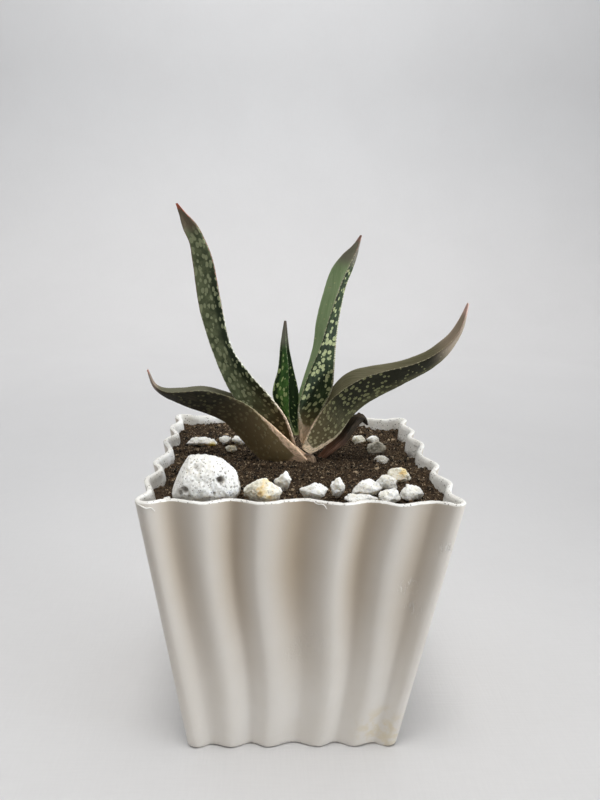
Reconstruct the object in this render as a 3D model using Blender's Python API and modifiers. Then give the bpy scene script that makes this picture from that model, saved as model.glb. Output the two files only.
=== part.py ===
"""Potted gasteria: a wavy square plastic pot, potting soil, white stones and a young keeled succulent.

Origin at the centre of the pot's foot, +Z up, -Y towards the side that the plant shows its broad view to.
"""
import math
import random

import bmesh
import bpy
from mathutils import Vector, noise
from mathutils.geometry import delaunay_2d_cdt

MM = 0.001

# Pot, in millimetres
POT_TOP_WIDTH = 100.0
POT_BASE_WIDTH = 73.4
POT_HEIGHT = 96.4
POT_WALL = 1.8
POT_CORNER_RADIUS = 3.2
POT_ROWS = (96.4, 84.0, 62.0, 42.0, 21.0, 1.0)
WAVE_DEPTH_TOP = 3.3
WAVE_DEPTH_BASE = 2.4
RIB_WANDER = 0.035
FOOT_CHAMFER = 0.7
FOOT_WIDTH = 4.0
FOOT_HEIGHT = 1.2
DRAIN_RADIUS = 1.8
DRAIN_SPACING = 19.0

# One side of the pot from its middle to its corner: place along the side, and how deep the drape lies there
DRAPE = ((0.0, 1.0), (0.265, 0.0), (0.445, 0.9), (0.645, 0.0), (0.85, 0.7), (1.0, 0.0))
DRAPE_STEPS = 3

# Soil, in millimetres
SEAT_GAP = 0.4
SOIL_SIDE_EXTRA = 0.2
SOIL_LEVEL = 92.3
SOIL_FLOOR = FOOT_HEIGHT + POT_WALL + SEAT_GAP
SOIL_GRAIN = 4.6
SOIL_SWELLS = (
    # x, y, height, radius of each hump or hollow
    (1.0, -6.0, 1.3, 13.0),
    (43.0, -17.0, 2.6, 7.0),
    (44.0, 14.0, -2.8, 9.0),
    (42.0, 34.0, -3.4, 8.0),
    (-28.0, 40.0, 1.2, 12.0),
    (30.0, 30.0, 0.8, 9.0),
    (-40.0, -20.0, -1.2, 9.0),
    (8.0, -41.0, -1.4, 14.0),
)
PLANT_HOLE_CENTRE = (0.2, 1.0)
PLANT_HOLE_SIZE = (15.2, 7.8)
PLANT_HOLE_FLOOR = 81.6

# Crown of the plant: height and radius pairs of its turned profile, in millimetres
CROWN_CENTRE = (4.6, 0.0)
CROWN_PROFILE = ((82.0, 3.0), (83.6, 4.3), (88.5, 4.2), (92.0, 3.3), (94.4, 2.4), (95.3, 1.3))

# Leaves. Each is lofted through stations from its base to its tip. A station gives the near margin, the far
# margin and the keel, as points in millimetres; the last entry is the tip.
LEAVES = {
    "leaf_tall_left": {
        "channel": 0.32, "face": -0.07, "colour": (0.150, 0.215, 0.130),
        "stations": (
            ((2.1, -1.5, 94.4), (2.0, 1.9, 94.2), (0.2, 0.3, 92.8)),
            ((0.3, -2.0, 98.2), (0.0, 2.8, 98.0), (-3.2, 0.5, 97.0)),
            ((-3.5, -3.0, 109.0), (-4.5, 3.3, 108.0), (-9.5, 0.0, 104.0)),
            ((-9.0, -3.5, 117.0), (-10.0, 3.4, 116.0), (-17.0, 0.0, 110.5)),
            ((-17.0, -4.0, 126.0), (-18.0, 3.4, 125.0), (-24.0, 0.0, 118.5)),
            ((-23.5, -4.0, 135.5), (-24.5, 3.0, 135.0), (-30.0, -0.5, 132.5)),
            ((-27.0, -4.5, 150.5), (-28.5, 2.0, 150.0), (-34.5, -1.0, 147.5)),
            ((-29.5, -5.0, 163.5), (-31.0, 1.0, 163.0), (-36.5, -2.0, 162.5)),
            ((-32.0, -5.0, 170.5), (-33.0, 0.0, 170.5), (-37.5, -3.0, 169.5)),
            ((-35.0, -5.0, 176.0), (-36.0, -1.6, 175.5), (-39.5, -4.0, 174.5)),
            ((-38.6, -5.2, 179.6), (-39.0, -3.5, 179.2), (-40.9, -4.5, 179.3)),
        ),
        "tip": (-41.5, -5.0, 182.5),
    },
    "leaf_low_left": {
        "channel": 0.52, "face": 0.03, "colour": (0.080, 0.090, 0.065),
        "stations": (
            ((4.0, -4.6, 95.0), (4.0, 4.6, 94.2), (-3.0, 0.0, 86.6)),
            ((-0.5, -5.0, 100.0), (-1.5, 5.0, 98.6), (-9.0, 0.0, 90.0)),
            ((-7.0, -5.0, 106.0), (-8.5, 5.0, 105.5), (-15.0, 0.0, 95.5)),
            ((-12.5, -4.8, 110.8), (-14.0, 4.8, 110.8), (-20.5, 0.0, 101.5)),
            ((-18.0, -4.5, 115.0), (-19.5, 4.5, 115.0), (-25.5, 0.0, 107.0)),
            ((-25.5, -4.0, 118.0), (-26.5, 4.4, 117.8), (-32.0, 0.0, 110.2)),
            ((-33.0, -3.5, 119.5), (-34.0, 4.0, 119.5), (-38.5, 0.5, 112.2)),
            ((-41.5, -2.0, 118.5), (-42.0, 4.3, 118.7), (-43.5, 1.0, 114.2)),
            ((-47.0, -0.6, 118.2), (-47.6, 3.8, 118.7), (-48.2, 1.5, 116.2)),
            ((-51.0, 0.5, 120.4), (-51.0, 3.3, 120.4), (-51.8, 2.0, 119.4)),
        ),
        "tip": (-53.5, 2.0, 125.6),
    },
    "leaf_centre": {
        "channel": 0.25, "face": -0.02, "colour": (0.060, 0.190, 0.065),
        "stations": (
            ((-0.6, -0.2, 102.6), (0.9, 0.9, 102.6), (-1.3, 1.4, 102.3)),
            ((-2.5, -0.4, 109.0), (0.3, 2.0, 109.5), (-5.0, 1.5, 109.5)),
            ((-3.0, 0.0, 117.5), (0.4, 2.4, 118.0), (-8.8, 2.0, 117.0)),
            ((-3.4, 0.5, 127.5), (-1.9, 3.0, 127.5), (-7.0, 2.2, 127.0)),
            ((-4.4, 1.0, 135.5), (-3.5, 2.6, 135.2), (-6.5, 2.2, 135.5)),
        ),
        "tip": (-5.0, 2.0, 144.0),
    },
    "leaf_tall_right": {
        "channel": 0.42, "face": -0.03, "colour": (0.100, 0.220, 0.090),
        "stations": (
            ((1.5, -1.5, 100.4), (1.2, 3.2, 100.2), (4.2, 1.0, 99.6)),
            ((0.8, -2.0, 107.0), (0.3, 3.8, 106.5), (5.6, 1.0, 105.5)),
            ((0.0, -2.5, 112.5), (-0.2, 4.2, 112.0), (8.6, 0.5, 111.5)),
            ((1.5, -3.0, 119.5), (0.8, 4.5, 118.5), (12.0, 0.5, 119.5)),
            ((3.5, -3.0, 126.0), (2.5, 4.5, 124.5), (12.6, 0.0, 127.0)),
            ((7.0, -3.5, 135.5), (5.0, 4.0, 134.5), (12.8, -0.5, 135.5)),
            ((9.5, -3.6, 144.8), (6.0, 3.0, 144.5), (13.5, -0.6, 145.2)),
            ((12.5, -4.0, 155.0), (8.2, 2.0, 154.8), (15.2, -1.0, 155.8)),
            ((15.0, -4.0, 161.8), (10.4, 1.0, 162.2), (17.0, -2.0, 161.6)),
            ((17.3, -4.0, 167.2), (13.7, -1.0, 167.2), (18.5, -3.0, 166.6)),
            ((18.6, -4.2, 170.6), (17.0, -2.8, 170.6), (19.1, -3.6, 170.0)),
        ),
        "tip": (19.5, -4.0, 174.0),
    },
    "leaf_spreading_right": {
        "channel": 0.50, "face": 0.03, "colour": (0.140, 0.150, 0.105),
        "stations": (
            ((1.8, -3.5, 99.0), (2.5, 4.0, 98.6), (5.0, -0.5, 95.7)),
            ((4.5, -4.5, 106.5), (6.5, 4.6, 107.4), (9.8, -1.0, 98.8)),
            ((8.5, -5.0, 113.5), (11.0, 5.0, 116.8), (15.0, -1.5, 103.4)),
            ((12.0, -5.5, 118.0), (15.5, 5.0, 123.0), (19.5, -1.5, 110.4)),
            ((17.0, -6.0, 122.4), (20.2, 4.0, 126.4), (24.0, -2.0, 115.0)),
            ((23.0, -6.5, 126.0), (26.0, 3.0, 128.2), (28.8, -2.5, 118.4)),
            ((30.5, -7.0, 128.6), (32.6, 1.0, 129.8), (35.2, -3.5, 122.2)),
            ((38.0, -8.0, 130.8), (38.8, -2.0, 132.2), (41.0, -5.0, 126.0)),
            ((44.0, -9.0, 133.6), (44.2, -4.2, 135.2), (46.4, -6.6, 129.8)),
            ((48.2, -10.0, 136.9), (48.0, -6.4, 138.8), (50.4, -8.4, 134.4)),
            ((51.4, -11.0, 140.4), (50.9, -8.5, 142.4), (53.2, -10.0, 139.4)),
            ((53.8, -12.0, 145.0), (53.0, -10.4, 146.8), (55.0, -11.4, 145.2)),
        ),
        "tip": (55.2, -13.0, 153.0),
    },
    "leaf_withered": {
        "channel": 0.45, "face": 0.05, "colour": (0.045, 0.032, 0.022),
        "stations": (
            ((8.6, 2.4, 92.4), (8.2, 5.2, 92.4), (9.5, 3.8, 90.6)),
            ((12.8, 2.6, 97.0), (12.1, 6.1, 98.0), (13.8, 4.3, 94.8)),
            ((17.6, 3.8, 101.4), (16.6, 7.6, 102.8), (19.0, 5.8, 98.6)),
            ((21.0, 5.4, 105.6), (20.4, 9.2, 107.4), (22.6, 7.4, 103.4)),
            ((24.3, 7.4, 107.6), (24.0, 10.6, 108.6), (25.4, 9.2, 106.0)),
            ((26.7, 9.3, 106.5), (26.7, 11.4, 106.8), (25.5, 10.3, 105.3)),
        ),
        "tip": (27.4, 10.8, 104.0),
    },
}
LEAF_LIP = 0.5
LEAF_RINGS_PER_STATION = 2
LEAF_TIP_RADIUS = 0.42

# Quads that close a leaf's end, as places in the list of points that leaf_section gives
LEAF_END_QUADS = ((2, 3, 8, 9), (3, 4, 7, 8), (4, 5, 6, 7), (1, 2, 9, 10), (0, 1, 10, 11), (13, 0, 11, 12))

# Stones on the soil: centre, half sizes, turn about Z in degrees, shape seed, and tint
WHITE = (0.84, 0.83, 0.78)
CREAM = (0.76, 0.66, 0.44)
GREY = (0.50, 0.49, 0.44)
STONES = {
    "stone_front_left_chip": ((-41.3, -41.2, 93.3), (1.9, 1.6, 1.5), 15, 4, WHITE),
    "stone_cream_chunk": ((-12.0, -38.6, 95.4), (6.0, 4.4, 4.7), -8, 21, CREAM),
    "stone_upright_chip": ((-5.5, -29.0, 95.4), (2.8, 2.3, 4.0), 10, 6, WHITE),
    "stone_front_wedge": ((4.1, -36.0, 94.4), (4.8, 3.0, 3.1), 0, 33, WHITE),
    "stone_narrow_chip": ((12.0, -33.0, 95.2), (2.4, 2.2, 3.6), 25, 14, WHITE),
    "stone_front_flat": ((18.6, -40.4, 94.2), (5.6, 3.1, 2.2), -4, 16, WHITE),
    "stone_long_white": ((21.4, -32.4, 94.8), (5.1, 2.8, 3.1), 12, 9, WHITE),
    "stone_right_chip": ((28.8, -26.6, 94.5), (3.7, 2.8, 2.8), -20, 31, WHITE),
    "stone_amber": ((34.0, -20.4, 94.6), (4.2, 3.1, 3.0), -15, 28, CREAM),
    "stone_right_block": ((27.7, -38.8, 94.2), (3.8, 3.2, 3.1), 30, 12, WHITE),
    "stone_right_front": ((35.7, -35.2, 94.2), (4.1, 3.3, 3.2), 0, 24, WHITE),
    "stone_back_bar": ((-36.0, 18.4, 93.6), (6.3, 2.8, 2.4), 4, 8, WHITE),
    "stone_back_bead": ((-27.2, 20.6, 94.0), (2.5, 2.2, 2.2), 0, 19, WHITE),
    "stone_back_chunk": ((-21.4, 20.0, 94.0), (3.1, 2.7, 2.5), 20, 5, WHITE),
    "stone_back_crumb": ((-24.2, 11.2, 93.3), (2.1, 1.8, 1.6), 0, 17, CREAM),
    "stone_back_amber": ((26.2, 23.0, 94.0), (2.8, 2.1, 1.9), -10, 23, CREAM),
    "stone_back_white": ((31.9, 23.4, 94.0), (2.7, 2.2, 1.8), 12, 29, WHITE),
    "stone_back_grey": ((31.8, 14.0, 93.1), (4.4, 3.2, 3.4), 35, 20, GREY),
    "stone_side_crumb": ((32.0, 2.4, 92.3), (2.9, 2.1, 2.0), 0, 35, WHITE),
}
BIG_STONE_CENTRE = (-30.3, -36.6, 98.0)
BIG_STONE_SIZE = (11.2, 7.6, 8.4)
STONE_SEAT_GAP = 0.5


def clear_scene():
    for obj in list(bpy.data.objects):
        bpy.data.objects.remove(obj, do_unlink=True)


def collection(name):
    group = bpy.data.collections.new(name)
    bpy.context.scene.collection.children.link(group)
    return group


def material(name, colour, roughness):
    mat = bpy.data.materials.new(name)
    mat.use_nodes = True
    shader = mat.node_tree.nodes["Principled BSDF"]
    shader.inputs["Base Color"].default_value = (*colour, 1.0)
    shader.inputs["Roughness"].default_value = roughness
    shader.inputs["Metallic"].default_value = 0.0
    return mat


def add_object(name, bm, group, mat=None):
    """Turn a bmesh in millimetres into an object in metres."""
    bmesh.ops.scale(bm, vec=(MM, MM, MM), verts=bm.verts)
    bmesh.ops.recalc_face_normals(bm, faces=bm.faces)
    mesh = bpy.data.meshes.new(name)
    bm.to_mesh(mesh)
    bm.free()
    if mat:
        mesh.materials.append(mat)
    mesh.shade_smooth()
    obj = bpy.data.objects.new(name, mesh)
    group.objects.link(obj)
    return obj


def mark_as_cutter(obj):
    obj.hide_render = True
    obj.display_type = "WIRE"


def skin(bm, rings, close_first=True, close_last=True):
    """Join rings of points of equal count with quads, and close the ends."""
    loops = [[bm.verts.new(p) for p in ring] for ring in rings]
    count = len(loops[0])
    for low, high in zip(loops, loops[1:]):
        for i in range(count):
            j = (i + 1) % count
            bm.faces.new((low[i], low[j], high[j], high[i]))
    if close_first:
        bm.faces.new(list(reversed(loops[0])))
    if close_last:
        bm.faces.new(loops[-1])
    return loops


# Pot

def drape_depth(place):
    """Depth of the drape, 0 on a ridge and 1 in the deepest valley, at a place from -1 to 1 along a side."""
    place = min(abs(place), 1.0)
    for (start, deep), (stop, deep_next) in zip(DRAPE, DRAPE[1:]):
        if place <= stop:
            t = (place - start) / (stop - start)
            return deep + (deep_next - deep) * (1.0 - math.cos(math.pi * t)) / 2.0
    return 0.0


def side_places():
    half = [0.0]
    for (start, _), (stop, _) in zip(DRAPE, DRAPE[1:]):
        half += [start + (stop - start) * k / DRAPE_STEPS for k in range(1, DRAPE_STEPS + 1)]
    return [-p for p in reversed(half[1:])] + half


def pot_half_width(z):
    return (POT_BASE_WIDTH + (POT_TOP_WIDTH - POT_BASE_WIDTH) * z / POT_HEIGHT) / 2.0


def pot_outline(z, inset=0.0, narrowed=0.0, drape=1.0):
    """The pot's outer outline at a height; inset moves it in along its normals, narrowed shrinks the square."""
    half = pot_half_width(z) - narrowed
    depth = (WAVE_DEPTH_BASE + (WAVE_DEPTH_TOP - WAVE_DEPTH_BASE) * z / POT_HEIGHT) * drape
    run = half - POT_CORNER_RADIUS
    wander = RIB_WANDER * math.sin(2.0 * math.pi * z / POT_HEIGHT)
    side = []
    for place in side_places():
        shifted = place + wander * (1.0 - place * place)
        side.append((shifted * run, -half + depth * drape_depth(place)))
    corner = run + POT_CORNER_RADIUS * math.sqrt(0.5)
    side.append((corner, -corner))
    points = []
    for quarter in range(4):
        c, s = ((1, 0), (0, 1), (-1, 0), (0, -1))[quarter]
        points += [Vector((x * c - y * s, x * s + y * c)) for x, y in side]
    if inset == 0.0:
        return points
    moved = []
    for i, p in enumerate(points):
        before = (p - points[i - 1]).normalized()
        after = (points[(i + 1) % len(points)] - p).normalized()
        normal_a = Vector((before.y, -before.x))
        normal_b = Vector((after.y, -after.x))
        normal = (normal_a + normal_b).normalized()
        moved.append(p - normal * (inset / max(0.5, normal.dot(normal_a))))
    return moved


def build_pot(group, cutters):
    rings = [[(p.x, p.y, z) for p in pot_outline(z)] for z in POT_ROWS]
    rings.append([(p.x, p.y, 0.0) for p in pot_outline(0.0, narrowed=FOOT_CHAMFER)])
    rings.append([(p.x, p.y, 0.0) for p in pot_outline(0.0, narrowed=FOOT_WIDTH, drape=0.5)])
    for further in (1.2, 4.0):
        floor = pot_outline(0.0, narrowed=FOOT_WIDTH + further, drape=0.3)
        rings.append([(p.x, p.y, FOOT_HEIGHT) for p in floor])
    bm = bmesh.new()
    skin(bm, rings, close_first=False)
    pot = add_object("pot", bm, group, material("pot_plastic", (0.80, 0.78, 0.74), 0.38))
    shell = pot.modifiers.new("wall", "SOLIDIFY")
    shell.thickness = POT_WALL * MM
    shell.offset = -1.0
    shell.use_even_offset = True
    bm = bmesh.new()
    for x in (-DRAIN_SPACING, 0.0, DRAIN_SPACING):
        for y in (-DRAIN_SPACING, 0.0, DRAIN_SPACING):
            if (x == 0.0) != (y == 0.0):
                hole = bmesh.ops.create_cone(
                    bm, cap_ends=True, segments=12, radius1=DRAIN_RADIUS, radius2=DRAIN_RADIUS, depth=12.0)
                bmesh.ops.translate(bm, verts=hole["verts"], vec=(x, y, 1.5))
    drains = add_object("drain_cutters", bm, cutters)
    mark_as_cutter(drains)
    cut = pot.modifiers.new("drains", "BOOLEAN")
    cut.operation = "DIFFERENCE"
    cut.object = drains
    return pot


# Soil

def soil_height(x, y):
    z = SOIL_LEVEL + 0.7 * noise.noise(Vector((x * 0.09, y * 0.09, 3.7)))
    z += 0.45 * noise.noise(Vector((x * 0.27, y * 0.27, 8.1)))
    for cx, cy, height, radius in SOIL_SWELLS:
        z += height * math.exp(-((x - cx) ** 2 + (y - cy) ** 2) / (radius * radius))
    return z


def build_soil(group, cutters):
    """The soil fills the pot and follows its draped wall."""
    inset = POT_WALL + SEAT_GAP
    level = pot_outline(SOIL_LEVEL, inset)
    top = [pot_outline(soil_height(p.x, p.y), inset)[i] for i, p in enumerate(level)]
    count = len(top)
    reach = pot_half_width(SOIL_LEVEL) - inset - WAVE_DEPTH_TOP - 1.5
    rng = random.Random(7)
    plan = [p.copy() for p in top]
    steps = int(2 * reach / SOIL_GRAIN)
    for i in range(steps + 1):
        for j in range(steps + 1):
            x = -reach + 2 * reach * i / steps
            y = -reach + 2 * reach * j / steps
            wobble = 0.25 * SOIL_GRAIN * (0 < i < steps) * (0 < j < steps)
            plan.append(Vector((x + rng.uniform(-wobble, wobble), y + rng.uniform(-wobble, wobble))))
    flat = delaunay_2d_cdt(plan, [], [list(range(count))], 1, 0.001)
    bm = bmesh.new()
    surface = [bm.verts.new((p.x, p.y, soil_height(p.x, p.y))) for p in flat[0]]
    for tri in flat[2]:
        bm.faces.new([surface[i] for i in tri])
    above = [surface[next(k for k, was in enumerate(flat[3]) if i in was)] for i in range(count)]
    for z in (*POT_ROWS[1:-1], SOIL_FLOOR):
        below = [bm.verts.new((p.x, p.y, z)) for p in pot_outline(z, inset + SOIL_SIDE_EXTRA)]
        for i in range(count):
            j = (i + 1) % count
            bm.faces.new((above[i], above[j], below[j], below[i]))
        above = below
    bm.faces.new(above)
    soil = add_object("soil", bm, group, material("potting_soil", (0.045, 0.031, 0.022), 0.95))
    bm = bmesh.new()
    depth = 110.0 - PLANT_HOLE_FLOOR
    hole = bmesh.ops.create_cone(bm, cap_ends=True, segments=28, radius1=0.86, radius2=1.03, depth=depth)
    bmesh.ops.scale(bm, vec=(*PLANT_HOLE_SIZE, 1.0), verts=hole["verts"])
    bmesh.ops.translate(bm, verts=hole["verts"], vec=(*PLANT_HOLE_CENTRE, PLANT_HOLE_FLOOR + depth / 2.0))
    mark_as_cutter(add_object("plant_hole", bm, cutters))
    return soil


# Crown and leaves

def build_crown(group):
    bm = bmesh.new()
    sides = 14
    rings = []
    for z, radius in CROWN_PROFILE:
        rings.append([
            (CROWN_CENTRE[0] + radius * math.cos(2 * math.pi * k / sides),
             CROWN_CENTRE[1] + radius * math.sin(2 * math.pi * k / sides), z) for k in range(sides)])
    skin(bm, rings)
    return add_object("crown", bm, group, material("crown_sheath", (0.55, 0.40, 0.27), 0.55))


def smooth_point(points, t):
    """Catmull-Rom curve through the points, t running from 0 to their count less one."""
    i = min(int(t), len(points) - 2)
    f = t - i
    b, c = points[i], points[i + 1]
    a = points[i - 1] if i > 0 else b * 2.0 - c
    d = points[i + 2] if i + 2 < len(points) else c * 2.0 - b
    return 0.5 * ((2.0 * b) + (c - a) * f + (2.0 * a - 5.0 * b + 4.0 * c - d) * f * f
                  + (3.0 * b - a - 3.0 * c + d) * f ** 3)


def leaf_section(near, far, keel, channel, face):
    """Outline of a keeled leaf: two lipped margins, a channel between them above and a keel below."""
    middle = (near + far) / 2.0
    width = (far - near).length
    across = (far - near) / width
    down = keel - middle
    keel_side = down.dot(across)
    rise = -(down - across * keel_side)
    depth = rise.length
    rise /= depth
    lip = min(LEAF_LIP, 0.16 * width, 0.2 * depth)
    corner = Vector((keel_side, -depth))
    flat = []

    def wing(sign):
        edge = Vector((sign * width / 2.0, 0.0))
        along = (edge - corner).normalized()
        inward = Vector((along.y, -along.x)) * (-sign)
        outer = edge - along * lip - inward * lip
        inner = edge - along * lip + inward * lip
        bulge = -inward * face * (edge - corner).length
        faces = [corner.lerp(outer, 0.36) + bulge, corner.lerp(outer, 0.70) + bulge]
        return edge, outer, inner, faces

    near_edge, near_outer, near_inner, near_face = wing(-1.0)
    far_edge, far_outer, far_inner, far_face = wing(1.0)
    valley = Vector((keel_side * channel, -depth * channel))
    round_in = Vector((0.0, 0.10 * channel * depth))
    flat += [near_inner, near_inner.lerp(valley, 0.55) - round_in, valley,
             far_inner.lerp(valley, 0.55) - round_in, far_inner, far_edge, far_outer]
    flat += [far_face[1], far_face[0], corner, near_face[0], near_face[1], near_outer, near_edge]
    return [middle + across * p.x + rise * p.y for p in flat]


def build_leaf(name, spec, group):
    rails = [[Vector(station[k]) for station in spec["stations"]] for k in range(3)]
    tip = Vector(spec["tip"])
    last = [rail[-1] for rail in rails]
    centre = (last[0] + last[1] + last[2]) / 3.0
    for rail, point in zip(rails, last):
        rail.append(tip + (point - centre).normalized() * LEAF_TIP_RADIUS)
    spans = len(rails[0]) - 1
    bm = bmesh.new()
    rings = []
    for k in range(spans * LEAF_RINGS_PER_STATION + 1):
        t = k / LEAF_RINGS_PER_STATION
        near, far, keel = (smooth_point(rail, t) for rail in rails)
        rings.append(leaf_section(near, far, keel, spec["channel"], spec["face"]))
    loops = skin(bm, rings, close_first=False, close_last=False)
    for loop in (loops[0], loops[-1]):
        for quad in LEAF_END_QUADS:
            bm.faces.new([loop[i] for i in quad])
    return add_object(name, bm, group, material(name + "_skin", spec["colour"], 0.42))


# Stones

def chip_points(centre, size, turn, seed):
    rng = random.Random(seed)
    angle = math.radians(turn)
    points = []
    for axis in range(3):
        for sign in (-1.0, 1.0):
            p = [rng.uniform(-0.55, 0.55) for _ in range(3)]
            p[axis] = sign
            points.append(Vector(p))
    for _ in range(16):
        p = Vector([rng.gauss(0.0, 1.0) for _ in range(3)]).normalized()
        points.append(p * rng.uniform(0.94, 1.06))
    placed = []
    for p in points:
        x, y, z = (p[i] * size[i] for i in range(3))
        placed.append(Vector((centre[0] + x * math.cos(angle) - y * math.sin(angle),
                              centre[1] + x * math.sin(angle) + y * math.cos(angle), centre[2] + z)))
    return placed


def hull(points):
    bm = bmesh.new()
    verts = [bm.verts.new(p) for p in points]
    result = bmesh.ops.convex_hull(bm, input=verts)
    spare = {v for v in result["geom_interior"] + result["geom_unused"] if isinstance(v, bmesh.types.BMVert)}
    bmesh.ops.delete(bm, geom=list(spare), context="VERTS")
    return bm


def big_stone(grow):
    bm = bmesh.new()
    bmesh.ops.create_icosphere(bm, subdivisions=3, radius=1.0)
    for v in bm.verts:
        d = v.co.normalized()
        swell = 1.0 + 0.10 * noise.noise(d * 1.3 + Vector((4.0, 2.0, 9.0)))
        swell += 0.05 * noise.noise(d * 3.1 + Vector((1.0, 7.0, 5.0)))
        p = Vector([math.copysign(abs(d[i]) ** 0.92, d[i]) * BIG_STONE_SIZE[i] for i in range(3)]) * swell
        p.z -= 0.11 * p.x * (p.z > 0.0)
        v.co = Vector(BIG_STONE_CENTRE) + p + p.normalized() * grow
    return bm


def build_stones(group, cutters):
    palette = {WHITE: material("stone_white", WHITE, 0.85), CREAM: material("stone_cream", CREAM, 0.85),
               GREY: material("stone_grey", GREY, 0.85)}
    add_object("stone_big_white", big_stone(0.0), group, palette[WHITE])
    mark_as_cutter(add_object("seat_big", big_stone(STONE_SEAT_GAP), cutters))
    for name, (centre, size, turn, seed, tint) in STONES.items():
        points = chip_points(centre, size, turn, seed)
        add_object(name, hull(points), group, palette[tint])
        heart = Vector(centre)
        seat = [p + (p - heart).normalized() * STONE_SEAT_GAP for p in points]
        mark_as_cutter(add_object("seat_" + name, hull(seat), cutters))


clear_scene()
parts = collection("potted_gasteria")
pot_cutters = collection("pot_cutters")
soil_cutters = collection("soil_cutters")
build_pot(parts, pot_cutters)
soil_body = build_soil(parts, soil_cutters)
build_crown(parts)
for leaf_name, leaf_spec in LEAVES.items():
    build_leaf(leaf_name, leaf_spec, parts)
build_stones(parts, soil_cutters)
seats = soil_body.modifiers.new("seats_and_plant_hole", "BOOLEAN")
seats.operation = "DIFFERENCE"
seats.operand_type = "COLLECTION"
seats.collection = soil_cutters
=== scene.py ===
# %% [markdown]
# # A potted gasteria, dressed round its fixed frame
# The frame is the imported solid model: a draped square pot, its soil, the leaves and the grit. It is right
# in size but plain. This notebook makes the pieces that are seen, each from the same driving values as the
# solid it stands for, and gives every surface a procedural finish. Lengths below are in millimetres, and
# turn into metres only when a mesh is made, because a plant is easier to think about in millimetres.

import math
import random

import bmesh
import bpy
from mathutils import Matrix, Vector, noise
from mathutils.kdtree import KDTree


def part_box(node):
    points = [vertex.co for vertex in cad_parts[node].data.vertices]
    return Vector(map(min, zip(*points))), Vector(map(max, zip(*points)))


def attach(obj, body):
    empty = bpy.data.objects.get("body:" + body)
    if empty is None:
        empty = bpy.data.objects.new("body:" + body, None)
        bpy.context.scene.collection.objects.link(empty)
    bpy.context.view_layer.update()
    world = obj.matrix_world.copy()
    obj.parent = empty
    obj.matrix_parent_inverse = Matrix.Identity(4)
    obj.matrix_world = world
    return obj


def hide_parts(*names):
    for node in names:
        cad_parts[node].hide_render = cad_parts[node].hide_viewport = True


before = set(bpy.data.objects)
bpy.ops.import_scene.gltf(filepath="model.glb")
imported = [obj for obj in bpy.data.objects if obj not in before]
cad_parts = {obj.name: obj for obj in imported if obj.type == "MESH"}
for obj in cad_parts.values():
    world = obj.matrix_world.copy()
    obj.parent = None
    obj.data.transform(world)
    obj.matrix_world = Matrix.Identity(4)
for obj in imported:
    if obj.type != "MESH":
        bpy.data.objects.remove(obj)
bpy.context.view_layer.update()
MM = 0.001

# %% [markdown]
# ## The camera
# A phone held a little above the pot, tipped down and slightly turned. Its place and its angles came from
# fitting the pot's corners, so a piece that is right in three dimensions lands on the right spot of the
# picture. The focal length is given in pixels of a 600 by 800 frame; Blender's sensor width belongs to the
# longer side, hence the division by 800.

# %% Camera
FRAME_HEIGHT_PX = 800
FOCAL_PX = 697.8
SENSOR_MM = 36.0
CAMERA_PLACE = Vector((-11.8, -243.2, 175.8))
PITCH_DOWN = math.radians(13.84)
YAW_LEFT = math.radians(-2.98)
ROLL = math.radians(1.65)

forward = Vector((-math.sin(YAW_LEFT) * math.cos(PITCH_DOWN),
                  math.cos(YAW_LEFT) * math.cos(PITCH_DOWN),
                  -math.sin(PITCH_DOWN)))
level_right = Vector((math.cos(YAW_LEFT), math.sin(YAW_LEFT), 0.0))
level_up = level_right.cross(forward)
right = level_right * math.cos(ROLL) + level_up * math.sin(ROLL)
up = level_up * math.cos(ROLL) - level_right * math.sin(ROLL)

lens = bpy.data.cameras.new("camera")
lens.sensor_width = SENSOR_MM
lens.lens = FOCAL_PX / FRAME_HEIGHT_PX * SENSOR_MM
lens.clip_start = 0.01
camera = bpy.data.objects.new("camera", lens)
bpy.context.scene.collection.objects.link(camera)
turn = Matrix((right, up, -forward)).transposed().to_4x4()
camera.matrix_world = Matrix.Translation(CAMERA_PLACE * MM) @ turn
bpy.context.scene.camera = camera
print("camera lens", round(lens.lens, 2), "mm")

# %% [markdown]
# ## Helpers for making pieces
# Every visible piece needs the same four steps: a mesh, smooth shading, a body to ride on and a material
# slot. One helper does all four, so no piece can miss one. Points go in as millimetres.

# %% Helpers for meshes
def show(name, points, faces, replaces=(), materials=()):
    mesh = bpy.data.meshes.new(name)
    mesh.from_pydata([(p[0] * MM, p[1] * MM, p[2] * MM) for p in points], [], faces)
    mesh.validate()
    mesh.shade_smooth()
    for mat in materials:
        mesh.materials.append(mat)
    piece = bpy.data.objects.new(name, mesh)
    bpy.context.scene.collection.objects.link(piece)
    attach(piece, "root")
    if replaces:
        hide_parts(*replaces)
    print(name, len(mesh.polygons), "faces")
    return piece


def band(start_a, start_b, count):
    """Quads that join two rings of count points whose first places in the point list are given."""
    faces = []
    for i in range(count):
        j = (i + 1) % count
        faces.append((start_a + i, start_a + j, start_b + j, start_b + i))
    return faces


def smoothstep(low, high, value):
    """0 at low and 1 at high, with an even rise between; low may be the larger of the two."""
    t = min(max((value - low) / (high - low), 0.0), 1.0)
    return t * t * (3.0 - 2.0 * t)


def relief(x, y, waves):
    """Noise of several sizes in one. A wave has its height, its size per millimetre and its own level."""
    return sum(height * noise.noise(Vector((x * size, y * size, level))) for height, size, level in waves)


def store_numbers(piece, name, values):
    """Keeps one number for each point of a piece, for its finish to read."""
    store = piece.data.attributes.new(name, "FLOAT", "POINT")
    for row, value in zip(store.data, values):
        row.value = value


def with_modifiers(piece):
    """The mesh that a piece has once its modifiers are applied."""
    return bpy.data.meshes.new_from_object(piece.evaluated_get(bpy.context.evaluated_depsgraph_get()))


print("mesh helpers: show, band, smoothstep, relief, store_numbers, with_modifiers")

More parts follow.
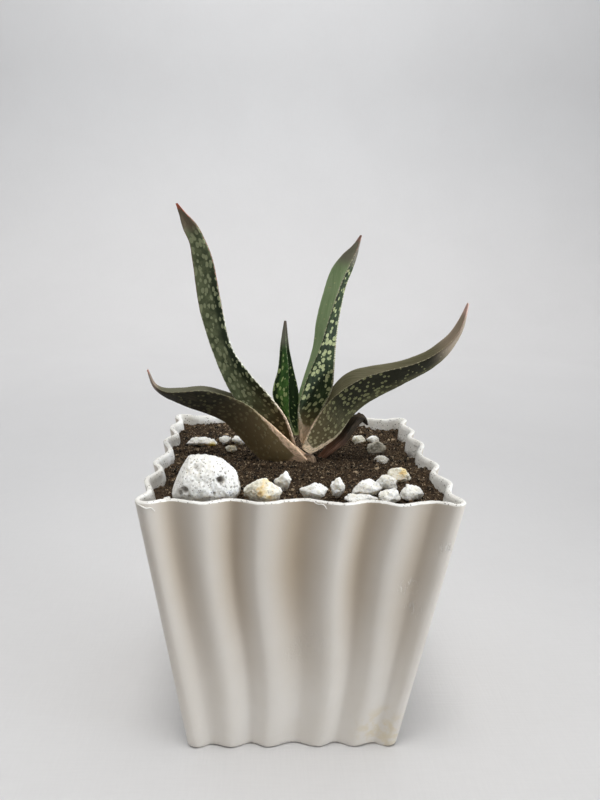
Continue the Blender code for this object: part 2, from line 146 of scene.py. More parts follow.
# %% [markdown]
# ## Helpers for finishes
# A procedural finish is a small graph of nodes. Writing each link by hand hides the idea, so these helpers
# name the few things that the graphs below do: add a node, mix two colours, fade a value in, and put a bump
# on top.

# %% Helpers for materials
MIX_A = 6
MIX_B = 7
MIX_RESULT = 2


def add_node(tree, kind, inputs=(), **settings):
    node = tree.nodes.new(kind)
    for key, value in settings.items():
        setattr(node, key, value)
    for key, value in dict(inputs).items():
        if isinstance(value, bpy.types.NodeSocket):
            tree.links.new(value, node.inputs[key])
        else:
            node.inputs[key].default_value = value
    return node


def calc(tree, operation, a, b):
    return add_node(tree, "ShaderNodeMath", {0: a, 1: b}, operation=operation).outputs[0]


def times(tree, a, b):
    return calc(tree, "MULTIPLY", a, b)


def plus(tree, a, b):
    return calc(tree, "ADD", a, b)


def minus(tree, a, b):
    return calc(tree, "SUBTRACT", a, b)


def rgba(colour):
    """A plain colour gets the alpha that a socket asks for; a link passes through."""
    return (*colour, 1.0) if isinstance(colour, tuple) else colour


def mixed(tree, factor, a, b):
    """Colour a where the factor is 0, colour b where it is 1."""
    inputs = {0: factor, MIX_A: rgba(a), MIX_B: rgba(b)}
    return add_node(tree, "ShaderNodeMix", inputs, data_type="RGBA").outputs[MIX_RESULT]


def fade(tree, value, low, high, low_gives=0.0, high_gives=1.0):
    """Smoothly from low_gives to high_gives while the value goes from low to high."""
    inputs = {"Value": value, "From Min": low, "From Max": high, "To Min": low_gives, "To Max": high_gives}
    return add_node(tree, "ShaderNodeMapRange", inputs, interpolation_type="SMOOTHSTEP").outputs[0]


# %% Helpers for patterns
def cloud(tree, place, scale, detail=3.0, roughness=0.55):
    inputs = {"Vector": place, "Scale": scale, "Detail": detail, "Roughness": roughness}
    return add_node(tree, "ShaderNodeTexNoise", inputs).outputs["Fac"]


def cells(tree, place, scale):
    """Voronoi cells: how far off the nearest middle is, and random numbers that belong to its cell."""
    node = add_node(tree, "ShaderNodeTexVoronoi", {"Vector": place, "Scale": scale})
    numbers = add_node(tree, "ShaderNodeSeparateColor", {0: node.outputs["Color"]}).outputs
    return node.outputs["Distance"], numbers


def stretched(tree, place, scale):
    return add_node(tree, "ShaderNodeMapping", {"Vector": place, "Scale": scale}).outputs[0]


def millimetres(tree):
    """The piece's own coordinates, in millimetres."""
    place = add_node(tree, "ShaderNodeTexCoord").outputs["Object"]
    return stretched(tree, place, (1 / MM, 1 / MM, 1 / MM))


def height_of(tree, place):
    return add_node(tree, "ShaderNodeSeparateXYZ", {0: place}).outputs["Z"]


def spot_at(tree, place, centre, radius):
    """1 at the centre, fading to 0 at the radius."""
    gap = add_node(tree, "ShaderNodeVectorMath", {0: place, 1: centre}, operation="DISTANCE").outputs["Value"]
    return fade(tree, gap, 0.35 * radius, radius, 1.0, 0.0)


def stored_number(tree, name):
    """What store_numbers kept under this name."""
    return add_node(tree, "ShaderNodeAttribute", attribute_name=name).outputs["Fac"]


# %% Helpers for shaders
def finish(name, roughness):
    mat = bpy.data.materials.new(name)
    mat.use_nodes = True
    shader = mat.node_tree.nodes["Principled BSDF"]
    shader.inputs["Roughness"].default_value = roughness
    return mat, mat.node_tree, shader


def put_on(tree, shader, colour, roughness, height, depth_mm):
    """Links a colour, a roughness unless it is None, and a height that makes a bump of depth_mm."""
    tree.links.new(colour, shader.inputs["Base Color"])
    if roughness is not None:
        tree.links.new(roughness, shader.inputs["Roughness"])
    bump = add_node(tree, "ShaderNodeBump", {"Height": height, "Strength": 1.0, "Distance": depth_mm * MM})
    tree.links.new(bump.outputs[0], shader.inputs["Normal"])


def glow_within(shader, weight, radii, depth_mm):
    """Lets a little light travel under the surface, as it does in plastic and in chalk."""
    shader.inputs["Subsurface Weight"].default_value = weight
    shader.inputs["Subsurface Radius"].default_value = radii
    shader.inputs["Subsurface Scale"].default_value = depth_mm * MM


print("finish helpers: colours, fades, clouds, cells, spots, bumps")

# %% [markdown]
# ## The pot's shape
# The pot is a tapered square tub of thin moulded plastic, pleated like a curtain. Modelling each pleat by
# hand would never repeat well on four sides. Instead one list says, from the middle of a side to its
# corner, where the ridges and the valleys lie, and a cosine joins them. The pleats wander a little to the
# side on their way down, as cloth does. The same list drives the solid, so the fine wall lies in the same
# place.

# %% Pot outline
POT_TOP_WIDTH = 100.0
POT_BASE_WIDTH = 73.4
POT_HEIGHT = 96.4
POT_WALL = 1.8
POT_CORNER_RADIUS = 3.2
WAVE_DEPTH_TOP = 3.3
WAVE_DEPTH_BASE = 2.4
RIB_WANDER = 0.035
DRAPE = ((0.0, 1.0), (0.265, 0.0), (0.445, 0.9), (0.645, 0.0), (0.85, 0.7), (1.0, 0.0))
DRAPE_STEPS = 14
CORNER_STEPS = 5


def drape_depth(place):
    place = min(abs(place), 1.0)
    for (start, deep), (stop, deep_next) in zip(DRAPE, DRAPE[1:]):
        if place <= stop:
            t = (place - start) / (stop - start)
            return deep + (deep_next - deep) * (1.0 - math.cos(math.pi * t)) / 2.0
    return 0.0


def side_places():
    half = [0.0]
    for (start, _), (stop, _) in zip(DRAPE, DRAPE[1:]):
        half += [start + (stop - start) * k / DRAPE_STEPS for k in range(1, DRAPE_STEPS + 1)]
    return [-p for p in reversed(half[1:])] + half


SIDE_PLACES = side_places()


def pot_half_width(z):
    return (POT_BASE_WIDTH + (POT_TOP_WIDTH - POT_BASE_WIDTH) * z / POT_HEIGHT) / 2.0


def rib_wander(z):
    """How far to the side the pleats have wandered at a height."""
    return RIB_WANDER * math.sin(2.0 * math.pi * z / POT_HEIGHT)


def pot_outline(z, inset=0.0, narrowed=0.0, drape=1.0):
    """The pot's outline at a height; inset moves it in along its normals, narrowed shrinks the square."""
    half = pot_half_width(z) - narrowed
    depth = (WAVE_DEPTH_BASE + (WAVE_DEPTH_TOP - WAVE_DEPTH_BASE) * z / POT_HEIGHT) * drape
    run = half - POT_CORNER_RADIUS
    wander = rib_wander(z)
    side = []
    for place in SIDE_PLACES:
        shifted = place + wander * (1.0 - place * place)
        side.append((shifted * run, -half + depth * drape_depth(place)))
    for k in range(1, CORNER_STEPS):
        a = math.pi / 2.0 * k / CORNER_STEPS
        side.append((run + POT_CORNER_RADIUS * math.sin(a), -run - POT_CORNER_RADIUS * math.cos(a)))
    points = []
    for c, s in ((1, 0), (0, 1), (-1, 0), (0, -1)):
        points += [Vector((x * c - y * s, x * s + y * c)) for x, y in side]
    if inset == 0.0:
        return points
    moved = []
    for i, p in enumerate(points):
        along = (points[(i + 1) % len(points)] - points[i - 1]).normalized()
        moved.append(p - Vector((along.y, -along.x)) * inset)
    return moved


OUTLINE_COUNT = len(pot_outline(0.0))
print("points round the pot:", OUTLINE_COUNT)

# %% [markdown]
# ## The pot's plastic
# White plastic that has stood about: warm white, satin, with a faint cloudiness from moulding, a few
# scratches and pits, and a yellow stain low on one corner. A painted shade darkens it towards the rim,
# most of all deep in the pleats. Each mark is placed in the pot's own coordinates, so it stays on its spot
# from every side. Inside the rim the wall is chalky from watering and flecked with soil.

# %% Outside plastic
PLASTIC_WHITE = (0.707, 0.669, 0.612)
PLASTIC_SHADE = (0.681, 0.638, 0.575)
PLASTIC_SCUFFED = (0.80, 0.77, 0.72)
TOP_PAINTED_SHADE = (0.42, 0.34, 0.25)
PLEAT_PAINTED_SHADE = (0.360, 0.270, 0.170)
FLECK_BROWN = (0.30, 0.25, 0.20)
STAIN_YELLOW = (0.640, 0.540, 0.340)
STAIN_PLACE = (31.0, -36.0, 7.0)
STAIN_RADIUS = 13.0
PIT_PLACES = ((3.5, -43.5, 44.0), (1.0, -43.0, 39.0))
PIT_RADIUS = 7.0
SCRATCH_PLACES = ((34.8, -45.5, 66.0), (36.3, -45.0, 57.5), (46.0, -48.0, 80.5))
SCRATCH_RADIUS = 4.5


def pot_plastic():
    mat, tree, shader = finish("pot_plastic_outside", 0.36)
    place = millimetres(tree)
    broad = cloud(tree, place, 0.045, 4.0)
    colour = mixed(tree, fade(tree, broad, 0.35, 0.70), PLASTIC_WHITE, PLASTIC_SHADE)
    stain = spot_at(tree, place, STAIN_PLACE, STAIN_RADIUS)
    stain = times(tree, stain, fade(tree, cloud(tree, place, 0.25, 5.0), 0.42, 0.62))
    colour = mixed(tree, times(tree, stain, 0.55), colour, STAIN_YELLOW)
    marks, _ = cells(tree, place, 0.42)
    flecked = fade(tree, cloud(tree, place, 0.06), 0.56, 0.66)
    flecks = times(tree, fade(tree, marks, 0.0, 0.085, 1.0, 0.0), flecked)
    colour = mixed(tree, times(tree, flecks, 0.45), colour, FLECK_BROWN)
    height_mm = height_of(tree, place)
    # Painted shade: darker towards the rim, and darker still deep in the pleats' valleys near the top.
    colour = mixed(tree, fade(tree, height_mm, 5.0, 70.0, 0.0, 0.26), colour, TOP_PAINTED_SHADE)
    valley_shade_mask = times(tree, stored_number(tree, "valley"), fade(tree, height_mm, 12.0, 80.0, 0.0, 0.80))
    colour = mixed(tree, valley_shade_mask, colour, PLEAT_PAINTED_SHADE)
    height = times(tree, cloud(tree, place, 1.1, 4.0, 0.6), 0.16)
    scuffs = fade(tree, cloud(tree, stretched(tree, place, (1.0, 1.0, 0.7)), 1.5, 2.0), 0.56, 0.62)
    for centre in PIT_PLACES:
        pits = times(tree, spot_at(tree, place, centre, PIT_RADIUS), scuffs)
        height = minus(tree, height, times(tree, pits, 1.1))
    lines = fade(tree, cloud(tree, stretched(tree, place, (1.6, 1.6, 0.45)), 0.8, 2.0), 0.56, 0.62)
    for centre in SCRATCH_PLACES:
        mark = times(tree, spot_at(tree, place, centre, SCRATCH_RADIUS), lines)
        height = minus(tree, height, times(tree, mark, 2.2))
        colour = mixed(tree, times(tree, mark, 0.5), colour, PLASTIC_SCUFFED)
    put_on(tree, shader, colour, fade(tree, broad, 0.30, 0.75, 0.32, 0.48), height, 0.12)
    glow_within(shader, 0.08, (0.9, 0.8, 0.65), 2.0)
    return mat


outside_plastic = pot_plastic()
print("pot finish outside:", outside_plastic.name)

# %% Inside plastic
CHALK_WHITE = (0.90, 0.885, 0.84)
CHALK_GREY = (0.82, 0.79, 0.73)
SOIL_SMEAR = (0.11, 0.075, 0.05)
SMEAR_FULL_AT = 89.5
SMEAR_GONE_AT = 93.2


def pot_inside():
    mat, tree, shader = finish("pot_plastic_inside", 0.55)
    place = millimetres(tree)
    chalk = cloud(tree, place, 0.35, 5.0, 0.65)
    colour = mixed(tree, fade(tree, chalk, 0.35, 0.65), CHALK_WHITE, CHALK_GREY)
    marks, _ = cells(tree, place, 1.15)
    flecked = fade(tree, cloud(tree, place, 0.5, 3.0), 0.46, 0.54)
    crumbs = times(tree, fade(tree, marks, 0.18, 0.30, 1.0, 0.0), flecked)
    low_dirt = fade(tree, height_of(tree, place), SMEAR_FULL_AT, SMEAR_GONE_AT, 1.0, 0.0)
    soiled = times(tree, low_dirt, fade(tree, cloud(tree, place, 0.8, 5.0), 0.36, 0.56))
    dirt = calc(tree, "MAXIMUM", crumbs, soiled)
    colour = mixed(tree, times(tree, dirt, 0.85), colour, SOIL_SMEAR)
    crust = plus(tree, cloud(tree, place, 1.3, 5.0, 0.7), times(tree, dirt, 0.4))
    put_on(tree, shader, colour, fade(tree, dirt, 0.0, 1.0, 0.5, 0.9), crust, 0.35)
    return mat


inside_plastic = pot_inside()
print("pot finish inside:", inside_plastic.name)

# %% [markdown]
# ## The pot itself
# One closed shell: up the outside, over a soft uneven rim, down the inside. The rim of a thin moulding is
# never quite level, so slow noise lifts and drops it by a fraction of a millimetre. The four drain holes
# are cut with a Boolean once the shell is whole, which is how they are least work and cleanest. Last, every
# point learns how deep in a pleat it lies, which the outside finish reads for its painted valley shade.

# %% Rim and wall
WALL_ROWS = 56
RIM_DROP = 0.9
# How far in from the outside, and how far above the pot's height, the rim's rounding runs
RIM_PROFILE = ((0.06, -0.45), (0.30, -0.10), (0.70, 0.04), (1.20, 0.02), (1.60, -0.18), (1.80, -0.7))
# A slow wave, a ragged cut and a little crust
RIM_WAVES = ((0.40, 0.055, 2.0), (0.18, 0.33, 5.0), (0.11, 1.1, 9.0))
WALL_WAVE = 0.10
INSIDE_CLEARANCE = 0.12
INSIDE_CRUST = 0.16
FOOT_CHAMFER = 0.7
FOOT_WIDTH = 4.0
FOOT_HEIGHT = 1.2
UNDERSIDE_STEPS = (12.0, 4.0, 1.2)
FLOOR_STEPS = (3.0, 12.0)


def rim_lift(x, y):
    """How far the trimmed rim stands off its level."""
    return relief(x, y, RIM_WAVES)


def pulled_in(p, z, distance):
    """The point, moved towards the pot's middle line by about the distance."""
    pull = 1.0 - distance / pot_half_width(z)
    return p.x * pull, p.y * pull


def outside_rings():
    """Rings from the recessed underside, up the outside and over the rim."""
    rings = []
    for further in UNDERSIDE_STEPS:
        rings.append([(p.x, p.y, FOOT_HEIGHT) for p in pot_outline(0.0, 0.0, FOOT_WIDTH + further, 0.3)])
    rings.append([(p.x, p.y, 0.0) for p in pot_outline(0.0, 0.0, FOOT_WIDTH, 0.5)])
    rings.append([(p.x, p.y, 0.0) for p in pot_outline(0.0, 0.0, FOOT_CHAMFER)])
    top = POT_HEIGHT - RIM_DROP
    for k in range(WALL_ROWS + 1):
        z = 1.0 + (top - 1.0) * k / WALL_ROWS
        ring = []
        for p in pot_outline(z):
            wave = WALL_WAVE * noise.noise(Vector((p.x * 0.05, p.y * 0.05, z * 0.06)))
            ring.append((*pulled_in(p, z, abs(wave)), z + rim_lift(p.x, p.y) * (k / WALL_ROWS) ** 6))
        rings.append(ring)
    for inset, rise in RIM_PROFILE:
        ring = pot_outline(POT_HEIGHT, inset)
        rings.append([(p.x, p.y, POT_HEIGHT + rise + rim_lift(p.x, p.y)) for p in ring])
    return rings


def inside_rings():
    """Rings from below the rim down to the inner floor."""
    rings = []
    top = POT_HEIGHT - RIM_DROP - 0.4
    for k in range(1, WALL_ROWS + 1):
        z = top - (top - FOOT_HEIGHT - POT_WALL) * (k / WALL_ROWS) ** 2
        ring = []
        for p in pot_outline(z, POT_WALL):
            crust = INSIDE_CRUST * noise.noise(Vector((p.x * 0.7, p.y * 0.7, z * 0.7)))
            lift = rim_lift(p.x, p.y) * max(0.0, 1.0 - k / 8.0)
            ring.append((*pulled_in(p, z, INSIDE_CLEARANCE + crust), z + lift))
        rings.append(ring)
    for further in FLOOR_STEPS:
        rings.append([(p.x, p.y, FOOT_HEIGHT + POT_WALL) for p in pot_outline(0.0, POT_WALL, further, 0.3)])
    return rings


# %% Pot shell
def make_pot():
    outside = outside_rings()
    rings = outside + inside_rings()
    points = [p for ring in rings for p in ring]
    faces = [tuple(reversed(range(OUTLINE_COUNT)))]
    for k in range(len(rings) - 1):
        faces += band(k * OUTLINE_COUNT, (k + 1) * OUTLINE_COUNT, OUTLINE_COUNT)
    faces.append(tuple((len(rings) - 1) * OUTLINE_COUNT + i for i in range(OUTLINE_COUNT)))
    pot = show("pot_draped_shell", points, faces, ["pot"], [outside_plastic, inside_plastic])
    inside_from = 1 + (len(outside) - len(RIM_PROFILE)) * OUTLINE_COUNT
    for i, face in enumerate(pot.data.polygons):
        face.material_index = 1 if i >= inside_from else 0
    return pot


pot_piece = make_pot()

# %% Drain holes
DRAIN_RADIUS = 1.8
DRAIN_SPACING = 19.0
DRAIN_SIDES = 32
CUTTER_HEIGHT = 12.0
CUTTER_MIDDLE = 1.5


def drain_cutter():
    bm = bmesh.new()
    for x, y in ((DRAIN_SPACING, 0.0), (-DRAIN_SPACING, 0.0), (0.0, DRAIN_SPACING), (0.0, -DRAIN_SPACING)):
        drain = bmesh.ops.create_cone(bm, cap_ends=True, segments=DRAIN_SIDES, depth=CUTTER_HEIGHT * MM,
                                      radius1=DRAIN_RADIUS * MM, radius2=DRAIN_RADIUS * MM)
        bmesh.ops.translate(bm, verts=drain["verts"], vec=(x * MM, y * MM, CUTTER_MIDDLE * MM))
    mesh = bpy.data.meshes.new("drain_cutters")
    bm.to_mesh(mesh)
    bm.free()
    cutter = bpy.data.objects.new("drain_cutters", mesh)
    bpy.context.scene.collection.objects.link(cutter)
    return cutter


def cut_drains(pot):
    cutter = drain_cutter()
    cut = pot.modifiers.new("drains", "BOOLEAN")
    cut.operation = "DIFFERENCE"
    cut.solver = "EXACT"
    cut.object = cutter
    done = with_modifiers(pot)
    pot.modifiers.clear()
    pot.data = done
    bpy.data.objects.remove(cutter)


cut_drains(pot_piece)
print("pot faces after the drains:", len(pot_piece.data.polygons))

# %% Depth in the pleats
def valley_at(x, y, z):
    """How deep in a pleat a point of the wall lies, from 0 on a ridge to 1 in the deepest valley."""
    if abs(y) >= abs(x):
        along = x if y < 0.0 else -x
    else:
        along = y if x > 0.0 else -y
    place = along / (pot_half_width(z) - POT_CORNER_RADIUS)
    return drape_depth(place - rib_wander(z) * max(0.0, 1.0 - place * place))


valleys = [valley_at(*(vertex.co / MM)) for vertex in pot_piece.data.vertices]
store_numbers(pot_piece, "valley", valleys)
print("points in the pleats' lower half:", sum(depth > 0.5 for depth in valleys))

# %% [markdown]
# ## Flash on the rim
# Where a mould's halves meet, a hair of plastic is left and curls over. Two such curls hang on the front of
# the rim. Each is a thin, slightly flattened tube, swept along a short bent path.

# %% Rim flash
FLASH_PATHS = (
    ((-48.9, -49.6, 95.9), (-47.6, -49.9, 95.3), (-46.2, -49.9, 94.6), (-44.8, -49.6, 94.6),
     (-43.7, -49.2, 93.4)),
    ((3.2, -47.3, 96.2), (4.6, -47.8, 95.5), (6.1, -48.2, 95.6), (7.1, -48.3, 94.6),
     (7.4, -48.2, 93.2), (7.0, -48.0, 92.0)),
)
FLASH_WIDTH = 0.34
FLASH_SIDES = 6
FLASH_STEPS = 18
TUBE_END = 0.25
TUBE_FLATNESS = 0.6


def curve_point(points, t):
    """Catmull-Rom curve through the points, t from 0 to their count less one."""
    i = min(int(t), len(points) - 2)
    f = t - i
    b, c = points[i], points[i + 1]
    a = points[i - 1] if i > 0 else b * 2.0 - c
    d = points[i + 2] if i + 2 < len(points) else c * 2.0 - b
    return 0.5 * ((2.0 * b) + (c - a) * f + (2.0 * a - 5.0 * b + 4.0 * c - d) * f * f
                  + (3.0 * b - a - 3.0 * c + d) * f ** 3)


def tube(path, radius, sides, steps, points, faces):
    """Adds a closed, slightly flattened tube that thins to its ends to a list of points and one of faces."""
    path = [Vector(p) for p in path]
    first = len(points)
    for k in range(steps + 1):
        t = (len(path) - 1) * k / steps
        here = curve_point(path, t)
        ahead = curve_point(path, min(t + 0.05, len(path) - 1)) - curve_point(path, max(t - 0.05, 0.0))
        side = ahead.cross(Vector((0.3, 0.2, 1.0))).normalized()
        top = side.cross(ahead).normalized()
        r = radius * (TUBE_END + (1.0 - TUBE_END) * math.sin(math.pi * (0.08 + 0.84 * k / steps)))
        for j in range(sides):
            a = 2.0 * math.pi * j / sides
            points.append(here + side * (r * math.cos(a)) + top * (TUBE_FLATNESS * r * math.sin(a)))
    for k in range(steps):
        faces += band(first + k * sides, first + (k + 1) * sides, sides)
    faces.append(tuple(first + j for j in reversed(range(sides))))
    faces.append(tuple(first + steps * sides + j for j in range(sides)))


flash_points, flash_faces = [], []
for flash_path in FLASH_PATHS:
    tube(flash_path, FLASH_WIDTH, FLASH_SIDES, FLASH_STEPS, flash_points, flash_faces)
show("rim_flash_curls", flash_points, flash_faces, materials=[inside_plastic])

# %% [markdown]
# ## The soil's surface
# Potting mix is crumbs all the way down, so it needs real relief before any shading. A patch stretched
# between the pot's four inner walls carries noise of several sizes; the walls' pleats bound it, so no gap
# shows at the rim. It closes down the sides to a floor, and is one solid body like the one it stands for.

# %% Soil heights
SOIL_LEVEL = 92.3
SOIL_INSET = POT_WALL + 0.05
SOIL_FLOOR = FOOT_HEIGHT + POT_WALL + 0.4
SOIL_SWELLS = (
    # x, y, height and radius of each hump or hollow
    (1.0, -6.0, 1.3, 13.0),
    (43.0, -17.0, 2.6, 7.0),
    (44.0, 14.0, -2.8, 9.0),
    (42.0, 34.0, -3.4, 8.0),
    (-28.0, 40.0, 1.2, 12.0),
    (30.0, 30.0, 0.8, 9.0),
    (-40.0, -20.0, -1.2, 9.0),
    (8.0, -41.0, -1.4, 14.0),
)
SOIL_WAVES = ((0.7, 0.09, 3.7), (0.45, 0.27, 8.1))
# Clods, lumps, crumbs and grit
SOIL_GRAIN = ((0.60, 0.24, 6.1), (0.60, 0.50, 1.3), (0.60, 1.25, 4.9), (0.28, 2.7, 7.7))


def soil_height(x, y):
    """The soil's level, humps and hollows, as the solid has them."""
    z = SOIL_LEVEL + relief(x, y, SOIL_WAVES)
    for cx, cy, height, radius in SOIL_SWELLS:
        z += height * math.exp(-((x - cx) ** 2 + (y - cy) ** 2) / (radius * radius))
    return z


def soil_top(x, y):
    return soil_height(x, y) + relief(x, y, SOIL_GRAIN)


print("soil height at the middle of the front rim:", round(soil_height(0.0, -45.0), 1), "mm")

# %% Soil patch
SOIL_CELLS = 190


def even_steps(points, count):
    """The polyline through the points, cut into count equal steps."""
    lengths = [0.0]
    for a, b in zip(points, points[1:]):
        lengths.append(lengths[-1] + (b - a).length)
    result = []
    i = 0
    for k in range(count + 1):
        want = lengths[-1] * k / count
        while i < len(points) - 2 and lengths[i + 1] < want:
            i += 1
        t = (want - lengths[i]) / (lengths[i + 1] - lengths[i])
        result.append(points[i].lerp(points[i + 1], min(max(t, 0.0), 1.0)))
    return result


def soil_sides():
    """The four sides of the pot's inside at soil level, each from corner to corner."""
    outline = pot_outline(SOIL_LEVEL, SOIL_INSET)
    quarter = OUTLINE_COUNT // 4
    corner = quarter - CORNER_STEPS // 2 - 1
    sides = []
    for k in range(4):
        start = k * quarter - (quarter - corner)
        run = [outline[(start + i) % OUTLINE_COUNT] for i in range(quarter + 1)]
        sides.append(even_steps(run, SOIL_CELLS))
    return sides


def soil_plan():
    """A square net of points stretched between the four sides."""
    front, right_side, back, left_side = soil_sides()
    back = list(reversed(back))
    left_side = list(reversed(left_side))
    n = SOIL_CELLS
    net = []
    for j in range(n + 1):
        v = j / n
        for i in range(n + 1):
            u = i / n
            p = front[i] * (1 - v) + back[i] * v + left_side[j] * (1 - u) + right_side[j] * u
            p = p - (front[0] * (1 - u) + front[n] * u) * (1 - v) - (back[0] * (1 - u) + back[n] * u) * v
            net.append(p)
    return net


def net_place(i, j):
    """Where the point in column i and row j stands in the net's list."""
    return j * (SOIL_CELLS + 1) + i


SOIL_POINTS = [Vector((p.x, p.y, soil_top(p.x, p.y))) for p in soil_plan()]
print("soil surface points:", len(SOIL_POINTS))

# %% [markdown]
# ## Soil finish and soil body
# Dark brown humus with lighter specks of bark, almost black in the hollows, where the height noise also
# paints shade into the pits; small cells give the crumb edges, and the surface stays fully matt.

# %% Soil finish
SOIL_DARK = (0.014, 0.009, 0.005)
SOIL_BROWN = (0.066, 0.041, 0.022)
SOIL_TAN = (0.400, 0.300, 0.180)


def soil_finish(name, dark, brown, tan):
    mat, tree, shader = finish(name, 0.95)
    place = millimetres(tree)
    coarse = cloud(tree, place, 0.9, 6.0, 0.7)
    # Partly painted shade: the noise that makes the bump's pits also darkens them, over the humus's own dark
    # tone.
    colour = mixed(tree, fade(tree, coarse, 0.34, 0.62), dark, brown)
    gap, numbers = cells(tree, place, 2.6)
    core = fade(tree, gap, 0.25, 0.45, 1.0, 0.0)
    specks = times(tree, fade(tree, numbers[0], 0.76, 0.86), core)
    colour = mixed(tree, times(tree, specks, 0.7), colour, tan)
    height = plus(tree, coarse, times(tree, gap, 0.6))
    put_on(tree, shader, colour, None, height, 0.55)
    shader.inputs["Specular IOR Level"].default_value = 0.25
    return mat


soil_material = soil_finish("potting_soil_humus", SOIL_DARK, SOIL_BROWN, SOIL_TAN)
print("soil finish:", soil_material.name)

# %% Soil body
SOIL_ROWS = (84.0, 60.0, 30.0, SOIL_FLOOR)
SOIL_SIDE_KEEPS = 0.985


def make_soil():
    n = SOIL_CELLS
    points = list(SOIL_POINTS)
    faces = []
    for j in range(n):
        for i in range(n):
            faces.append((net_place(i, j), net_place(i + 1, j), net_place(i + 1, j + 1), net_place(i, j + 1)))
    edge = [net_place(i, 0) for i in range(n)]
    edge += [net_place(n, j) for j in range(n)]
    edge += [net_place(i, n) for i in range(n, 0, -1)]
    edge += [net_place(0, j) for j in range(n, 0, -1)]
    above = edge
    top_half = pot_half_width(SOIL_LEVEL) - SOIL_INSET
    for z in SOIL_ROWS:
        shrink = SOIL_SIDE_KEEPS * (pot_half_width(z) - SOIL_INSET) / top_half
        below = []
        for k in edge:
            below.append(len(points))
            points.append(Vector((points[k].x * shrink, points[k].y * shrink, z)))
        for k in range(len(edge)):
            m = (k + 1) % len(edge)
            faces.append((above[m], above[k], below[k], below[m]))
        above = below
    faces.append(tuple(reversed(above)))
    return show("soil_bed", points, faces, ["soil"], [soil_material])


make_soil()

# %% [markdown]
# ## Loose crumbs and fibres
# A smooth-shaded patch never looks like soil up close, because real crumbs have undersides. Thousands of
# tiny angular grains, each an icosahedron or an octahedron pushed out of shape, sit on the patch with their
# lower part sunk in. Each keeps one random number on its points, and the finish reads it as the grain's own
# shade, from black humus to tan bark. A few coir fibres lie across them. All draws are seeded.

# %% Crumb finish
CRUMB_BLACK = (0.010, 0.007, 0.004)
CRUMB_BROWN = (0.120, 0.078, 0.043)
CRUMB_TAN = (0.500, 0.385, 0.255)


def crumb_finish():
    mat, tree, shader = finish("soil_crumb_shades", 0.9)
    place = millimetres(tree)
    tint = stored_number(tree, "tint")
    rough = cloud(tree, place, 3.0, 3.0, 0.7)
    shade = plus(tree, tint, times(tree, rough, 0.2))
    colour = mixed(tree, fade(tree, shade, 0.3, 1.0), CRUMB_BLACK, CRUMB_BROWN)
    _, numbers = cells(tree, place, 2.8)
    colour = mixed(tree, fade(tree, numbers[0], 0.80, 0.90, 0.0, 0.6), colour, CRUMB_TAN)
    colour = mixed(tree, fade(tree, tint, 0.90, 0.98, 0.0, 0.8), colour, CRUMB_TAN)
    put_on(tree, shader, colour, None, rough, 0.2)
    shader.inputs["Specular IOR Level"].default_value = 0.3
    return mat


crumb_shades = crumb_finish()
print("crumb finish:", crumb_shades.name)

# %% Grains
GOLDEN = (1.0 + math.sqrt(5.0)) / 2.0
ICO_POINTS = [Vector(p).normalized() for p in (
    (-1, GOLDEN, 0), (1, GOLDEN, 0), (-1, -GOLDEN, 0), (1, -GOLDEN, 0), (0, -1, GOLDEN), (0, 1, GOLDEN),
    (0, -1, -GOLDEN), (0, 1, -GOLDEN), (GOLDEN, 0, -1), (GOLDEN, 0, 1), (-GOLDEN, 0, -1), (-GOLDEN, 0, 1))]
ICO_FACES = ((0, 11, 5), (0, 5, 1), (0, 1, 7), (0, 7, 10), (0, 10, 11), (1, 5, 9), (5, 11, 4), (11, 10, 2),
             (10, 7, 6), (7, 1, 8), (3, 9, 4), (3, 4, 2), (3, 2, 6), (3, 6, 8), (3, 8, 9), (4, 9, 5),
             (2, 4, 11), (6, 2, 10), (8, 6, 7), (9, 8, 1))
OCTA_POINTS = [Vector(p) for p in ((1, 0, 0), (-1, 0, 0), (0, 1, 0), (0, -1, 0), (0, 0, 1), (0, 0, -1))]
OCTA_FACES = ((0, 2, 4), (2, 1, 4), (1, 3, 4), (3, 0, 4), (2, 0, 5), (1, 2, 5), (3, 1, 5), (0, 3, 5))
ICO_FROM_SIZE = 0.5
GRAIN_TURN = 6.28


def add_grain(rng, centre, size, points, faces):
    """Adds one crooked grain; the larger ones have twenty sides and the smaller ones eight."""
    corners, sides = (ICO_POINTS, ICO_FACES) if size > ICO_FROM_SIZE else (OCTA_POINTS, OCTA_FACES)
    first = len(points)
    round_z = Matrix.Rotation(rng.uniform(0, GRAIN_TURN), 3, "Z")
    turn = round_z @ Matrix.Rotation(rng.uniform(0, GRAIN_TURN), 3, "X")
    stretch = Vector((rng.uniform(0.7, 1.3), rng.uniform(0.6, 1.1), rng.uniform(0.5, 0.9)))
    for corner in corners:
        p = corner * rng.uniform(0.72, 1.2) * size
        points.append(centre + turn @ Vector((p.x * stretch.x, p.y * stretch.y, p.z * stretch.z)))
    faces += [tuple(first + i for i in face) for face in sides]
    return len(corners)


print("sides of a coarse and of a fine grain:", len(ICO_FACES), len(OCTA_FACES))

# %% Crumbs
CRUMB_BATCHES = (
    # name, grains, seed, smallest and largest radius
    ("soil_crumbs_coarse", 3400, 11, 0.34, 1.05),
    ("soil_crumbs_fine", 15500, 23, 0.14, 0.38),
)
CRUMB_MARGIN = 3


def make_crumbs(name, count, seed, small, large):
    rng = random.Random(seed)
    points, faces, tints = [], [], []
    for _ in range(count):
        i = rng.randrange(CRUMB_MARGIN, SOIL_CELLS + 1 - CRUMB_MARGIN)
        j = rng.randrange(CRUMB_MARGIN, SOIL_CELLS + 1 - CRUMB_MARGIN)
        size = small + (large - small) * rng.random() ** 3.0
        centre = SOIL_POINTS[net_place(i, j)] + Vector((0.0, 0.0, size * rng.uniform(-0.1, 0.5)))
        corners = add_grain(rng, centre, size, points, faces)
        tints += [rng.random()] * corners
    crumbs = show(name, points, faces, materials=[crumb_shades])
    crumbs.data.shade_flat()
    store_numbers(crumbs, "tint", tints)


for crumb_batch in CRUMB_BATCHES:
    make_crumbs(*crumb_batch)

